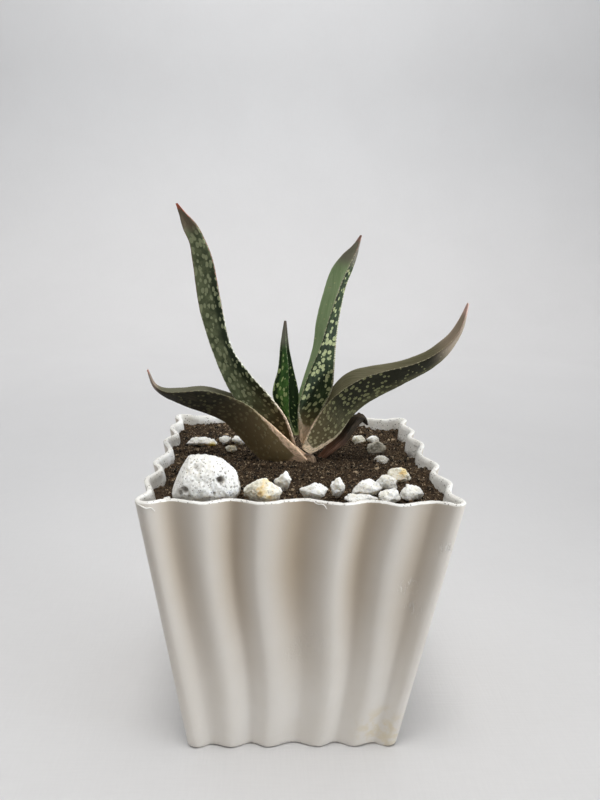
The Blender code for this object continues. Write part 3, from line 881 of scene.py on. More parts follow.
# %% Fibres
FIBRE_COUNT = 70
FIBRE_BENDS = 5
FIBRE_RADIUS = 0.10
FIBRE_SIDES = 5
FIBRE_STEPS = 10
FIBRE_MARGIN = 12
bark_material = soil_finish("coir_fibre", (0.090, 0.058, 0.036), (0.240, 0.165, 0.095), (0.36, 0.28, 0.19))


def make_fibres():
    rng = random.Random(5)
    points, faces = [], []
    for _ in range(FIBRE_COUNT):
        j = rng.randrange(FIBRE_MARGIN, SOIL_CELLS - FIBRE_MARGIN)
        i = rng.randrange(FIBRE_MARGIN, SOIL_CELLS - FIBRE_MARGIN)
        x, y, _ = SOIL_POINTS[net_place(i, j)]
        heading = rng.uniform(0.0, 2.0 * math.pi)
        path = []
        for _ in range(FIBRE_BENDS):
            path.append((x, y, soil_top(x, y) + rng.uniform(0.1, 0.9)))
            heading += rng.uniform(-0.7, 0.7)
            step = rng.uniform(0.5, 1.3)
            x += step * math.cos(heading)
            y += step * math.sin(heading)
        tube(path, FIBRE_RADIUS, FIBRE_SIDES, FIBRE_STEPS, points, faces)
    return show("soil_fibres", points, faces, materials=[bark_material])


make_fibres()

# %% [markdown]
# ## A keeled leaf
# Each gasteria leaf is a three-edged blade: two lipped margins with a shallow channel between them, and a
# keel below. Sweeping one section along three rails, one for each edge, keeps all three edges where they
# belong through every bend. The section starts as the solid's fourteen corners, with one more on each side
# of the keel so that it stays crisp. Cutting all the corners twice then rounds the section as living tissue
# is rounded.

# %% Leaf section
LEAF_LIP = 0.5
LEAF_TIP_RADIUS = 0.42
KEEL_ROUND = 0.55
KEEL_PUSH = 0.35
MARGIN_PUSH = 0.12
RINGS_PER_STATION = 26


def leaf_section(near, far, keel, channel, face):
    """The section's corners; channel and face say how deep it is hollowed above and how its sides bulge."""
    middle = (near + far) / 2.0
    width = (far - near).length
    across = (far - near) / width
    down = keel - middle
    keel_side = down.dot(across)
    rise = -(down - across * keel_side)
    depth = rise.length
    rise /= depth
    lip = min(LEAF_LIP, 0.16 * width, 0.2 * depth)
    corner = Vector((keel_side, -depth))
    corner += corner.normalized() * min(KEEL_PUSH, 0.1 * depth)

    def wing(sign):
        edge = Vector((sign * (width / 2.0 + min(MARGIN_PUSH, 0.05 * width)), 0.0))
        along = (edge - corner).normalized()
        inward = Vector((along.y, -along.x)) * (-sign)
        outer = edge - along * lip - inward * lip
        inner = edge - along * lip + inward * lip
        bulge = -inward * face * (edge - corner).length
        faces = [corner.lerp(outer, 0.36) + bulge, corner.lerp(outer, 0.70) + bulge]
        keel_near = corner.lerp(outer, min(0.25, KEEL_ROUND / (outer - corner).length))
        return edge, outer, inner, faces, keel_near

    near_edge, near_outer, near_inner, near_face, near_keel = wing(-1.0)
    far_edge, far_outer, far_inner, far_face, far_keel = wing(1.0)
    valley = Vector((keel_side * channel, -depth * channel))
    round_in = Vector((0.0, 0.10 * channel * depth))
    flat = [corner, near_keel, near_face[0], near_face[1], near_outer, near_edge, near_inner,
            near_inner.lerp(valley, 0.55) - round_in, valley, far_inner.lerp(valley, 0.55) - round_in,
            far_inner, far_edge, far_outer, far_face[1], far_face[0], far_keel]
    return [middle + across * p.x + rise * p.y for p in flat]


# Which of the sixteen corners above are the keel, the near margin and the far margin
KEEL_CORNER = 0
NEAR_CORNER = 5
FAR_CORNER = 11
SECTION_CORNERS = 16
CUTS = 2
SECTION_POINTS = SECTION_CORNERS * 2 ** CUTS


def cut_corners(points):
    """Each corner gives way to two points, a quarter of the way along its two sides."""
    result = []
    for i, p in enumerate(points):
        q = points[(i + 1) % len(points)]
        result += [p.lerp(q, 0.25), p.lerp(q, 0.75)]
    return result


def place_of_corner(corner):
    """Where a corner ends up once the corners are cut; the keel is at the list's start and end."""
    return (corner - 0.5) * 2 ** CUTS + 2 ** (CUTS - 1)


print("points in a leaf section:", SECTION_POINTS)

# %% Leaf rails
LEAVES = {
    "leaf_tall_left": {
        "channel": 0.32, "face": -0.07,
        "stations": (
            ((2.1, -1.5, 94.4), (2.0, 1.9, 94.2), (0.2, 0.3, 92.8)),
            ((0.3, -2.0, 98.2), (0.0, 2.8, 98.0), (-3.2, 0.5, 97.0)),
            ((-3.5, -3.0, 109.0), (-4.5, 3.3, 108.0), (-9.5, 0.0, 104.0)),
            ((-9.0, -3.5, 117.0), (-10.0, 3.4, 116.0), (-17.0, 0.0, 110.5)),
            ((-17.0, -4.0, 126.0), (-18.0, 3.4, 125.0), (-24.0, 0.0, 118.5)),
            ((-23.5, -4.0, 135.5), (-24.5, 3.0, 135.0), (-30.0, -0.5, 132.5)),
            ((-27.0, -4.5, 150.5), (-28.5, 2.0, 150.0), (-34.5, -1.0, 147.5)),
            ((-29.5, -5.0, 163.5), (-31.0, 1.0, 163.0), (-36.5, -2.0, 162.5)),
            ((-32.0, -5.0, 170.5), (-33.0, 0.0, 170.5), (-37.5, -3.0, 169.5)),
            ((-35.0, -5.0, 176.0), (-36.0, -1.6, 175.5), (-39.5, -4.0, 174.5)),
            ((-38.6, -5.2, 179.6), (-39.0, -3.5, 179.2), (-40.9, -4.5, 179.3)),
        ),
        "tip": (-41.5, -5.0, 182.5),
    },
    "leaf_low_left": {
        "channel": 0.52, "face": 0.03,
        "stations": (
            ((4.0, -4.6, 95.0), (4.0, 4.6, 94.2), (-3.0, 0.0, 86.6)),
            ((-0.5, -5.0, 100.0), (-1.5, 5.0, 98.6), (-9.0, 0.0, 90.0)),
            ((-7.0, -5.0, 106.0), (-8.5, 5.0, 105.5), (-15.0, 0.0, 95.5)),
            ((-12.5, -4.8, 110.8), (-14.0, 4.8, 110.8), (-20.5, 0.0, 101.5)),
            ((-18.0, -4.5, 115.0), (-19.5, 4.5, 115.0), (-25.5, 0.0, 107.0)),
            ((-25.5, -4.0, 118.0), (-26.5, 4.4, 117.8), (-32.0, 0.0, 110.2)),
            ((-33.0, -3.5, 119.5), (-34.0, 4.0, 119.5), (-38.5, 0.5, 112.2)),
            ((-41.5, -2.0, 118.5), (-42.0, 4.3, 118.7), (-43.5, 1.0, 114.2)),
            ((-47.0, -0.6, 118.2), (-47.6, 3.8, 118.7), (-48.2, 1.5, 116.2)),
            ((-51.0, 0.5, 120.4), (-51.0, 3.3, 120.4), (-51.8, 2.0, 119.4)),
        ),
        "tip": (-53.5, 2.0, 125.6),
    },
    "leaf_centre": {
        "channel": 0.25, "face": -0.02,
        "stations": (
            ((-0.6, -0.2, 102.6), (0.9, 0.9, 102.6), (-1.3, 1.4, 102.3)),
            ((-2.5, -0.4, 109.0), (0.3, 2.0, 109.5), (-5.0, 1.5, 109.5)),
            ((-3.0, 0.0, 117.5), (0.4, 2.4, 118.0), (-8.8, 2.0, 117.0)),
            ((-3.4, 0.5, 127.5), (-1.9, 3.0, 127.5), (-7.0, 2.2, 127.0)),
            ((-4.4, 1.0, 135.5), (-3.5, 2.6, 135.2), (-6.5, 2.2, 135.5)),
        ),
        "tip": (-5.0, 2.0, 144.0),
    },
    "leaf_tall_right": {
        "channel": 0.42, "face": -0.03,
        "stations": (
            ((1.5, -1.5, 100.4), (1.2, 3.2, 100.2), (4.2, 1.0, 99.6)),
            ((0.8, -2.0, 107.0), (0.3, 3.8, 106.5), (5.6, 1.0, 105.5)),
            ((0.0, -2.5, 112.5), (-0.2, 4.2, 112.0), (8.6, 0.5, 111.5)),
            ((1.5, -3.0, 119.5), (0.8, 4.5, 118.5), (12.0, 0.5, 119.5)),
            ((3.5, -3.0, 126.0), (2.5, 4.5, 124.5), (12.6, 0.0, 127.0)),
            ((7.0, -3.5, 135.5), (5.0, 4.0, 134.5), (12.8, -0.5, 135.5)),
            ((9.5, -3.6, 144.8), (6.0, 3.0, 144.5), (13.5, -0.6, 145.2)),
            ((12.5, -4.0, 155.0), (8.2, 2.0, 154.8), (15.2, -1.0, 155.8)),
            ((15.0, -4.0, 161.8), (10.4, 1.0, 162.2), (17.0, -2.0, 161.6)),
            ((17.3, -4.0, 167.2), (13.7, -1.0, 167.2), (18.5, -3.0, 166.6)),
            ((18.6, -4.2, 170.6), (17.0, -2.8, 170.6), (19.1, -3.6, 170.0)),
        ),
        "tip": (19.5, -4.0, 174.0),
    },
    "leaf_spreading_right": {
        "channel": 0.50, "face": 0.03,
        "stations": (
            ((1.8, -3.5, 99.0), (2.5, 4.0, 98.6), (5.0, -0.5, 95.7)),
            ((4.5, -4.5, 106.5), (6.5, 4.6, 107.4), (9.8, -1.0, 98.8)),
            ((8.5, -5.0, 113.5), (11.0, 5.0, 116.8), (15.0, -1.5, 103.4)),
            ((12.0, -5.5, 118.0), (15.5, 5.0, 123.0), (19.5, -1.5, 110.4)),
            ((17.0, -6.0, 122.4), (20.2, 4.0, 126.4), (24.0, -2.0, 115.0)),
            ((23.0, -6.5, 126.0), (26.0, 3.0, 128.2), (28.8, -2.5, 118.4)),
            ((30.5, -7.0, 128.6), (32.6, 1.0, 129.8), (35.2, -3.5, 122.2)),
            ((38.0, -8.0, 130.8), (38.8, -2.0, 132.2), (41.0, -5.0, 126.0)),
            ((44.0, -9.0, 133.6), (44.2, -4.2, 135.2), (46.4, -6.6, 129.8)),
            ((48.2, -10.0, 136.9), (48.0, -6.4, 138.8), (50.4, -8.4, 134.4)),
            ((51.4, -11.0, 140.4), (50.9, -8.5, 142.4), (53.2, -10.0, 139.4)),
            ((53.8, -12.0, 145.0), (53.0, -10.4, 146.8), (55.0, -11.4, 145.2)),
        ),
        "tip": (55.2, -13.0, 153.0),
    },
    "leaf_withered": {
        "channel": 0.45, "face": 0.05,
        "stations": (
            ((8.6, 2.4, 92.4), (8.2, 5.2, 92.4), (9.5, 3.8, 90.6)),
            ((12.8, 2.6, 97.0), (12.1, 6.1, 98.0), (13.8, 4.3, 94.8)),
            ((17.6, 3.8, 101.4), (16.6, 7.6, 102.8), (19.0, 5.8, 98.6)),
            ((21.0, 5.4, 105.6), (20.4, 9.2, 107.4), (22.6, 7.4, 103.4)),
            ((24.3, 7.4, 107.6), (24.0, 10.6, 108.6), (25.4, 9.2, 106.0)),
            ((26.7, 9.3, 106.5), (26.7, 11.4, 106.8), (25.5, 10.3, 105.3)),
        ),
        "tip": (27.4, 10.8, 104.0),
    },
}
print("leaves:", ", ".join(LEAVES))

# %% [markdown]
# ## What a leaf's finish is told
# A gasteria leaf is dark green with raised pale spots, thickest in loose cross bands. Its margins and keel
# are a thin horny line, cream with small dark notches, and its foot is a pale sheath blushed with pink.
# Where such a thing starts and stops belongs to the leaf's form, so it is worked out for each point from
# its distance to the edges and stored on the mesh. The shader only paints what these numbers say.

# %% Leaf rings
def leaf_rings(spec):
    rails = [[Vector(station[k]) for station in spec["stations"]] for k in range(3)]
    tip = Vector(spec["tip"])
    last = [rail[-1] for rail in rails]
    centre = (last[0] + last[1] + last[2]) / 3.0
    for rail, point in zip(rails, last):
        rail.append(tip + (point - centre).normalized() * LEAF_TIP_RADIUS)
    spans = len(rails[0]) - 1
    rings = []
    for k in range(spans * RINGS_PER_STATION + 1):
        t = k / RINGS_PER_STATION
        near, far, keel = (curve_point(rail, t) for rail in rails)
        ring = leaf_section(near, far, keel, spec["channel"], spec["face"])
        for _ in range(CUTS):
            ring = cut_corners(ring)
        rings.append(ring)
    return rings


def edge_distances(ring):
    """For each point of a ring: its way round from the keel, its gaps to keel and margins, and its side."""
    way = [0.0]
    for i in range(len(ring)):
        way.append(way[-1] + (ring[(i + 1) % len(ring)] - ring[i]).length)
    whole = way[-1]
    marks = []
    for corner in (KEEL_CORNER, NEAR_CORNER, FAR_CORNER):
        place = place_of_corner(corner) % len(ring)
        i = int(place)
        marks.append(way[i] + (way[i + 1] - way[i]) * (place - i))
    rows = []
    for i in range(len(ring)):
        gaps = []
        for mark in marks:
            gap = abs(way[i] - mark)
            gaps.append(min(gap, whole - gap))
        upper = 1.0 if marks[1] < way[i] < marks[2] else 0.0
        rows.append({"way": way[i], "keel": gaps[0], "near": gaps[1], "far": gaps[2], "upper": upper,
                     "face_width": abs(marks[1] - marks[0]), "front": 1.0 if way[i] <= marks[1] else 0.0})
    return rows, whole


print("rings of the first leaf:", len(leaf_rings(LEAVES["leaf_tall_left"])))

# %% Leaf mesh
TOOTH_PITCH = 0.85
TOOTH_HEIGHT = 0.16
SKIN_SWELL = 0.10
SKIN_GRAIN = 0.05
SEAM_JUMP = 4.0


def store_zones(mesh, name, values):
    store = mesh.attributes.new(name, "FLOAT_COLOR", "POINT")
    for row, value in zip(store.data, values):
        row.color = value


def leaf_faces(ring_count):
    """Quads between the rings, and a row of quads across each end."""
    count = SECTION_POINTS
    faces = []
    for k in range(ring_count - 1):
        faces += band(k * count, (k + 1) * count, count)
    for start, flip in ((0, True), ((ring_count - 1) * count, False)):
        for i in range(count // 2 - 1):
            quad = (start + i, start + i + 1, start + count - 2 - i, start + count - 1 - i)
            faces.append(tuple(reversed(quad)) if flip else quad)
    return faces


def map_leaf(mesh, rounds, heights):
    """Lays a flat map on the leaf: across it the way round from the keel, along it the way from the foot."""
    layer = mesh.uv_layers.new(name="leaf_map")
    for loop in mesh.loops:
        layer.data[loop.index].uv = (rounds[loop.vertex_index], heights[loop.vertex_index])
    for face in mesh.polygons:
        ways = [layer.data[i].uv[0] for i in face.loop_indices]
        if max(ways) - min(ways) > SEAM_JUMP:
            for i in face.loop_indices:
                if layer.data[i].uv[0] < 0.0:
                    layer.data[i].uv[0] = -layer.data[i].uv[0]


def make_leaf(name, zones_of, mat, roughen=0.0):
    rings = leaf_rings(LEAVES[name])
    centres = [sum(ring, Vector()) / len(ring) for ring in rings]
    reach = [0.0]
    for a, b in zip(centres, centres[1:]):
        reach.append(reach[-1] + (b - a).length)
    points, zones, shades, rounds, heights = [], [], [], [], []
    for k, ring in enumerate(rings):
        rows, whole = edge_distances(ring)
        share = reach[k] / reach[-1]
        strength = smoothstep(0.05, 0.16, share) * smoothstep(0.97, 0.85, share)
        strength *= 1.0 - min(1.0, 4.0 * roughen)
        tooth = max(0.0, math.sin(2.0 * math.pi * reach[k] / TOOTH_PITCH + 1.7 * math.sin(reach[k] * 0.9)))
        for p, row in zip(ring, rows):
            out = (p - centres[k]).normalized()
            to_edge = min(row["near"], row["far"])
            q = p + out * (TOOTH_HEIGHT * tooth * strength * smoothstep(0.50, 0.0, to_edge))
            q += out * (SKIN_SWELL * noise.noise(p * 0.16) + SKIN_GRAIN * noise.noise(p * 0.6))
            if roughen:
                q += out * (roughen * noise.noise(Vector((row["way"] * 0.9, reach[k] * 0.25, 3.0))))
            points.append(q)
            zone, shade = zones_of(share, reach[k], row, tooth)
            zones.append(zone)
            shades.append(shade)
            rounds.append(row["way"] if row["way"] < whole / 2 else row["way"] - whole)
            heights.append(reach[k])
    leaf = show(name + "_blade", points, leaf_faces(len(rings)), [name], [mat])
    store_zones(leaf.data, "zones", zones)
    store_zones(leaf.data, "shades", shades)
    map_leaf(leaf.data, rounds, heights)

# %% [markdown]
# ## Zone rules
# Each leaf has its own habits: how wide its pale margin grows towards the sheath, how far down the spots
# go, whether a band of painted shade runs beside the near margin or the keel. A rule holds these habits
# as plain numbers and turns a point's place into zone values, so that six leaves share one piece of code.

# %% Zone rule
def zone_rule(line=0.42, foot_line=1.2, foot_from=0.22, foot_full=0.05, keel_line=0.25, keel_foot=0.6,
              keel_until=0.9, line_until=0.9, tip_from=0.86, upper_spots=0.1, spots_from=0.08,
              spots_until=0.88, keel_gain=0.0, strength=1.0, shade_band_width=0.0, shade_band_from=0.0, shade_band_until=0.7,
              base_until=0.25, keel_shade_band=0.0, spots_thin=0.0):
    """Returns a function that gives (pale, upper, tip, spots) and (painted shade band, base, keel side,
    tooth).
    """
    def zones_of(share, reach, row, tooth):
        foot = 1.0 - smoothstep(0.0, foot_from, share)
        fading = smoothstep(1.0, line_until, share)
        near_width = line * fading * (0.75 + 0.25 * math.sin(reach * 3.1)) + foot_line * foot
        far_width = line * fading + 0.4 * foot_line * foot
        soft = 0.12 + 0.5 * foot
        pale = 0.0
        for line_width, gap in ((near_width, row["near"]), (far_width, row["far"])):
            if line_width > 0.05:
                pale = max(pale, smoothstep(line_width + soft, line_width - soft, gap))
        keel_width = (keel_line + keel_foot * foot) * smoothstep(keel_until + 0.06, keel_until - 0.04, share)
        if keel_width > 0.05:
            pale = max(pale, 0.85 * smoothstep(keel_width + 0.2, keel_width - 0.1, row["keel"]))
        pale = max(pale, smoothstep(foot_full, 0.35 * foot_full, share))
        tip = smoothstep(tip_from, 1.0, share)
        spots = smoothstep(spots_from - 0.05, spots_from + 0.03, share)
        spots *= smoothstep(spots_until + 0.06, spots_until - 0.08, share) * strength
        spots *= 1.0 - spots_thin * smoothstep(0.35, 0.65, share)
        spots *= upper_spots if row["upper"] else 1.0 + keel_gain * smoothstep(2.6, 0.6, row["keel"])
        # Painted shade: a dark band beside the near margin on the front face, and along the keel on the lower
        # faces.
        dark = 0.0
        if shade_band_width and row["front"]:
            reach_in = shade_band_width * row["face_width"]
            dark = smoothstep(reach_in * 1.25, reach_in * 0.75, row["near"])
            dark *= smoothstep(shade_band_from - 0.08, shade_band_from + 0.04, share)
            dark *= smoothstep(shade_band_until + 0.12, shade_band_until - 0.06, share)
        if keel_shade_band and not row["upper"]:
            way_in = row["keel"] / max(row["face_width"], 0.1)
            dark = max(dark, smoothstep(keel_shade_band, 0.5 * keel_shade_band, way_in))
        base = smoothstep(base_until, 0.2 * base_until, share)
        keel_side = smoothstep(0.45, 0.05, row["keel"] / max(row["face_width"], 0.1))
        return (pale, row["upper"], tip, min(spots, 1.5)), (dark, base, keel_side, tooth)
    return zones_of


# %% [markdown]
# ## Leaf finish
# Flattened cells make the spots: each cell of a stretched Voronoi pattern becomes one oval whose size is
# drawn from the cell's own colour, so some cells stay empty. Slow noise along the leaf gathers the ovals
# into bands. Below them lies the skin's green, mottled, browner towards the tip; above them the horny edge.
# The same mask lifts the spots in the bump, because on the real leaf they can be felt.

# %% Leaf spots
LEAF_NOTCH = (0.100, 0.070, 0.045)
SPOTS_ACROSS = 0.62
SPOT_WOBBLE = (0.7, 0.7, 0.0)


def stored_four(tree, name):
    """The four numbers that store_zones kept under this name."""
    store = add_node(tree, "ShaderNodeAttribute", attribute_name=name)
    parts = add_node(tree, "ShaderNodeSeparateColor", {0: store.outputs["Color"]}).outputs
    return parts[0], parts[1], parts[2], store.outputs["Alpha"]


def leaf_spots(tree, on_leaf, spot_zone, size, spot_radius):
    """1 on the oval spots and 0 between them."""
    wobble = add_node(tree, "ShaderNodeTexNoise", {"Vector": on_leaf, "Scale": 0.7, "Detail": 2.0})
    bend = {0: wobble.outputs["Color"], 1: SPOT_WOBBLE}
    bend = add_node(tree, "ShaderNodeVectorMath", bend, operation="MULTIPLY").outputs[0]
    bent = add_node(tree, "ShaderNodeVectorMath", {0: on_leaf, 1: bend}, operation="ADD").outputs[0]
    grid = stretched(tree, bent, (SPOTS_ACROSS / size[0], SPOTS_ACROSS / size[1], 1.0))
    ovals = add_node(tree, "ShaderNodeTexVoronoi", {"Vector": grid, "Scale": 1.0, "Randomness": 0.85},
                     voronoi_dimensions="2D")
    pick = add_node(tree, "ShaderNodeSeparateColor", {0: ovals.outputs["Color"]}).outputs[0]
    bands = cloud(tree, stretched(tree, on_leaf, (0.10, 0.20, 1.0)), 1.0, 2.0)
    room = times(tree, fade(tree, bands, 0.36, 0.58, 0.55, 1.0), fade(tree, pick, 0.08, 0.55, 0.30, 1.0))
    radius = times(tree, times(tree, room, spot_zone), spot_radius)
    edge = minus(tree, radius, ovals.outputs["Distance"])
    return times(tree, fade(tree, edge, -0.04, 0.07), fade(tree, radius, 0.10, 0.15))


# %% Leaf material
def leaf_finish(name, skin, skin_light, shade_band_tone, upper_skin_painted_light, upper_streak_painted_light, base_tone, tip_brown, tip_red,
                spot, spot_base, pale, sheath, lip=None, lip_from=(50.0, 70.0), size=(1.0, 1.3),
                spot_radius=0.42, roughness=0.62, lines=0.0):
    mat, tree, shader = finish(name, roughness)
    on_leaf = add_node(tree, "ShaderNodeUVMap", uv_map="leaf_map").outputs[0]
    pale_zone, upper_zone, tip_zone, spot_zone = stored_four(tree, "zones")
    shade_band_zone, base_zone, keel_zone, tooth_zone = stored_four(tree, "shades")
    place = millimetres(tree)
    mottle = cloud(tree, place, 0.30, 5.0, 0.6)
    streaks = cloud(tree, stretched(tree, on_leaf, (3.2, 0.09, 1.0)), 1.0, 4.0, 0.65)
    light = plus(tree, mottle, times(tree, keel_zone, 0.10))
    colour = mixed(tree, fade(tree, light, 0.36, 0.66), skin, skin_light)
    streak_mask = times(tree, fade(tree, streaks, 0.48, 0.66), 0.12 + lines)
    colour = mixed(tree, streak_mask, colour, upper_skin_painted_light)
    # The upper face's own tone carries painted light: lighter where it turns up to the light, darker on the
    # centre leaf, whose channel lies in shade.
    upper_tone_painted_light = mixed(tree, fade(tree, streaks, 0.38, 0.64), upper_skin_painted_light, upper_streak_painted_light)
    colour = mixed(tree, upper_zone, colour, upper_tone_painted_light)
    # Painted shade: the dark band beside the near margin and along the keel.
    colour = mixed(tree, times(tree, shade_band_zone, 0.92), colour, shade_band_tone)
    colour = mixed(tree, times(tree, base_zone, 0.80), colour, base_tone)
    spots = leaf_spots(tree, on_leaf, spot_zone, size, spot_radius)
    spot_tone = mixed(tree, fade(tree, cloud(tree, place, 0.9, 2.0), 0.4, 0.7, 0.0, 0.4), spot, skin_light)
    spot_tone = mixed(tree, base_zone, spot_tone, spot_base)
    spot_tone = mixed(tree, times(tree, tip_zone, 0.8), spot_tone, tip_brown)
    colour = mixed(tree, times(tree, spots, 0.95), colour, spot_tone)
    colour = mixed(tree, fade(tree, tip_zone, 0.0, 0.45, 0.0, 0.9), colour, tip_brown)
    colour = mixed(tree, fade(tree, tip_zone, 0.90, 0.99), colour, tip_red)
    grain = cloud(tree, stretched(tree, on_leaf, (1.6, 0.6, 1.0)), 1.0, 4.0)
    notch = times(tree, fade(tree, tooth_zone, 0.0, 0.5, 1.0, 0.0), minus(tree, 1.0, base_zone))
    line_tone = pale
    if lip is not None:
        reach_mm = add_node(tree, "ShaderNodeSeparateXYZ", {0: on_leaf}).outputs["Y"]
        line_tone = mixed(tree, fade(tree, reach_mm, *lip_from), pale, lip)
    edge_tone = mixed(tree, fade(tree, base_zone, 0.25, 0.90), line_tone, sheath)
    edge_tone = mixed(tree, fade(tree, grain, 0.44, 0.70, 0.0, 0.8), edge_tone, base_tone)
    edge_tone = mixed(tree, times(tree, notch, 0.55), edge_tone, LEAF_NOTCH)
    pale_mask = fade(tree, plus(tree, pale_zone, times(tree, grain, 0.3)), 0.40, 0.85)
    colour = mixed(tree, pale_mask, colour, mixed(tree, fade(tree, tip_zone, 0.3, 0.9), edge_tone, tip_red))
    height = plus(tree, times(tree, spots, 0.55), times(tree, streaks, 0.45))
    height = plus(tree, height, times(tree, cloud(tree, place, 3.0, 3.0), 0.25))
    shine = fade(tree, spots, 0.0, 1.0, roughness, roughness + 0.16)
    put_on(tree, shader, colour, shine, height, 0.18)
    shader.inputs["Specular IOR Level"].default_value = 0.22
    return mat


# %% The two left leaves
make_leaf("leaf_tall_left",
          zone_rule(line=0.60, foot_line=1.3, foot_from=0.34, foot_full=0.08, keel_line=0.10, keel_foot=0.3,
                    tip_from=0.86, spots_from=0.05, spots_until=0.97, line_until=0.98, keel_gain=0.10,
                    shade_band_width=0.36, shade_band_from=0.10, shade_band_until=0.74, base_until=0.40),
          leaf_finish("leaf_tall_left_skin", skin=(0.064, 0.080, 0.038), skin_light=(0.155, 0.180, 0.092),
                      shade_band_tone=(0.011, 0.022, 0.006), upper_skin_painted_light=(0.105, 0.125, 0.062),
                      upper_streak_painted_light=(0.155, 0.180, 0.092), base_tone=(0.138, 0.092, 0.038),
                      tip_brown=(0.150, 0.112, 0.074), tip_red=(0.42, 0.115, 0.065),
                      spot=(0.340, 0.370, 0.210), spot_base=(0.400, 0.310, 0.160), pale=(0.80, 0.80, 0.64),
                      sheath=(0.800, 0.600, 0.440), lip=(0.30, 0.16, 0.11), lip_from=(55.0, 75.0),
                      size=(1.0, 1.45)))
make_leaf("leaf_low_left",
          zone_rule(line=0.34, foot_line=3.1, foot_from=0.50, foot_full=0.10, keel_line=0.0, keel_foot=0.0,
                    tip_from=0.84, spots_from=0.10, spots_until=0.82, strength=0.85, base_until=0.62,
                    line_until=0.70),
          leaf_finish("leaf_low_left_skin", skin=(0.008, 0.007, 0.003), skin_light=(0.024, 0.019, 0.009),
                      shade_band_tone=(0.010, 0.010, 0.006), upper_skin_painted_light=(0.150, 0.145, 0.095),
                      upper_streak_painted_light=(0.105, 0.100, 0.060), base_tone=(0.290, 0.210, 0.098),
                      tip_brown=(0.260, 0.195, 0.150), tip_red=(0.46, 0.24, 0.19),
                      spot=(0.085, 0.078, 0.038), spot_base=(0.270, 0.215, 0.110), pale=(0.240, 0.240, 0.135),
                      sheath=(0.880, 0.620, 0.420), size=(1.1, 1.3), spot_radius=0.40))

# %% The middle leaf and the tall right leaf
make_leaf("leaf_centre",
          zone_rule(line=0.42, foot_line=0.5, foot_from=0.2, foot_full=0.03, keel_line=0.12, keel_foot=0.1,
                    tip_from=0.70, upper_spots=0.5, spots_from=0.02, spots_until=0.74, base_until=0.1,
                    line_until=0.95, keel_shade_band=0.42),
          leaf_finish("leaf_centre_skin", skin=(0.022, 0.068, 0.012), skin_light=(0.085, 0.190, 0.040),
                      shade_band_tone=(0.006, 0.015, 0.004), upper_skin_painted_light=(0.008, 0.020, 0.005),
                      upper_streak_painted_light=(0.020, 0.046, 0.011), base_tone=(0.060, 0.100, 0.028),
                      tip_brown=(0.170, 0.165, 0.130), tip_red=(0.15, 0.12, 0.09),
                      spot=(0.400, 0.480, 0.200), spot_base=(0.40, 0.48, 0.22), pale=(0.36, 0.46, 0.26),
                      sheath=(0.40, 0.44, 0.22), size=(0.8, 1.5), spot_radius=0.40))
make_leaf("leaf_tall_right",
          zone_rule(line=0.40, foot_line=2.2, foot_from=0.22, foot_full=0.12, keel_line=0.38, keel_foot=0.9,
                    keel_until=0.80, tip_from=0.80, upper_spots=0.42, spots_from=0.05, spots_until=0.88,
                    keel_gain=0.05, spots_thin=0.30, base_until=0.20, line_until=0.92),
          leaf_finish("leaf_tall_right_skin", skin=(0.008, 0.016, 0.005), skin_light=(0.022, 0.040, 0.012),
                      shade_band_tone=(0.008, 0.016, 0.006), upper_skin_painted_light=(0.270, 0.350, 0.185),
                      upper_streak_painted_light=(0.200, 0.285, 0.130), base_tone=(0.340, 0.265, 0.130),
                      tip_brown=(0.185, 0.168, 0.125), tip_red=(0.30, 0.18, 0.14),
                      spot=(0.440, 0.470, 0.240), spot_base=(0.50, 0.44, 0.24), pale=(0.62, 0.62, 0.46),
                      sheath=(0.850, 0.660, 0.480), size=(1.15, 1.25), spot_radius=0.49))

# %% The right leaf and the withered one
make_leaf("leaf_spreading_right",
          zone_rule(line=0.32, foot_line=0.9, foot_from=0.30, foot_full=0.06, keel_line=0.0, keel_foot=2.0,
                    keel_until=0.30, tip_from=0.66, upper_spots=0.0, spots_from=0.04, spots_until=0.86,
                    spots_thin=0.55, shade_band_width=0.75, shade_band_from=0.30, shade_band_until=0.80,
                    base_until=0.30, line_until=0.92),
          leaf_finish("leaf_spreading_right_skin", skin=(0.026, 0.025, 0.009),
                      skin_light=(0.060, 0.056, 0.024), shade_band_tone=(0.012, 0.012, 0.005),
                      upper_skin_painted_light=(0.178, 0.162, 0.094), upper_streak_painted_light=(0.120, 0.112, 0.060),
                      base_tone=(0.135, 0.103, 0.049),
                      tip_brown=(0.370, 0.300, 0.220), tip_red=(0.62, 0.42, 0.35),
                      spot=(0.175, 0.175, 0.080), spot_base=(0.330, 0.285, 0.150), pale=(0.44, 0.40, 0.25),
                      sheath=(0.850, 0.660, 0.450), size=(1.0, 1.2), lines=0.22))
make_leaf("leaf_withered",
          zone_rule(line=0.0, foot_line=0.5, foot_from=0.45, foot_full=0.10, keel_line=0.0, keel_foot=0.0,
                    strength=0.0, base_until=0.6),
          leaf_finish("leaf_withered_skin", skin=(0.008, 0.005, 0.002), skin_light=(0.036, 0.023, 0.011),
                      shade_band_tone=(0.012, 0.008, 0.006), upper_skin_painted_light=(0.050, 0.034, 0.017),
                      upper_streak_painted_light=(0.020, 0.014, 0.009), base_tone=(0.190, 0.092, 0.054),
                      tip_brown=(0.022, 0.014, 0.009), tip_red=(0.020, 0.013, 0.010),
                      spot=(0.05, 0.04, 0.03), spot_base=(0.05, 0.04, 0.03), pale=(0.230, 0.115, 0.070),
                      sheath=(0.230, 0.115, 0.070), roughness=0.75, lines=0.5),
          roughen=0.55)

# %% [markdown]
# ## The crown
# The plant's short stem hides between the leaf bases and the soil. The solid's own shape is right for it,
# so it stays, and gets a pale, fibrous finish that goes with the leaf feet.

# %% Crown finish
CROWN_PALE = (0.38, 0.27, 0.17)
CROWN_BROWN = (0.16, 0.10, 0.06)


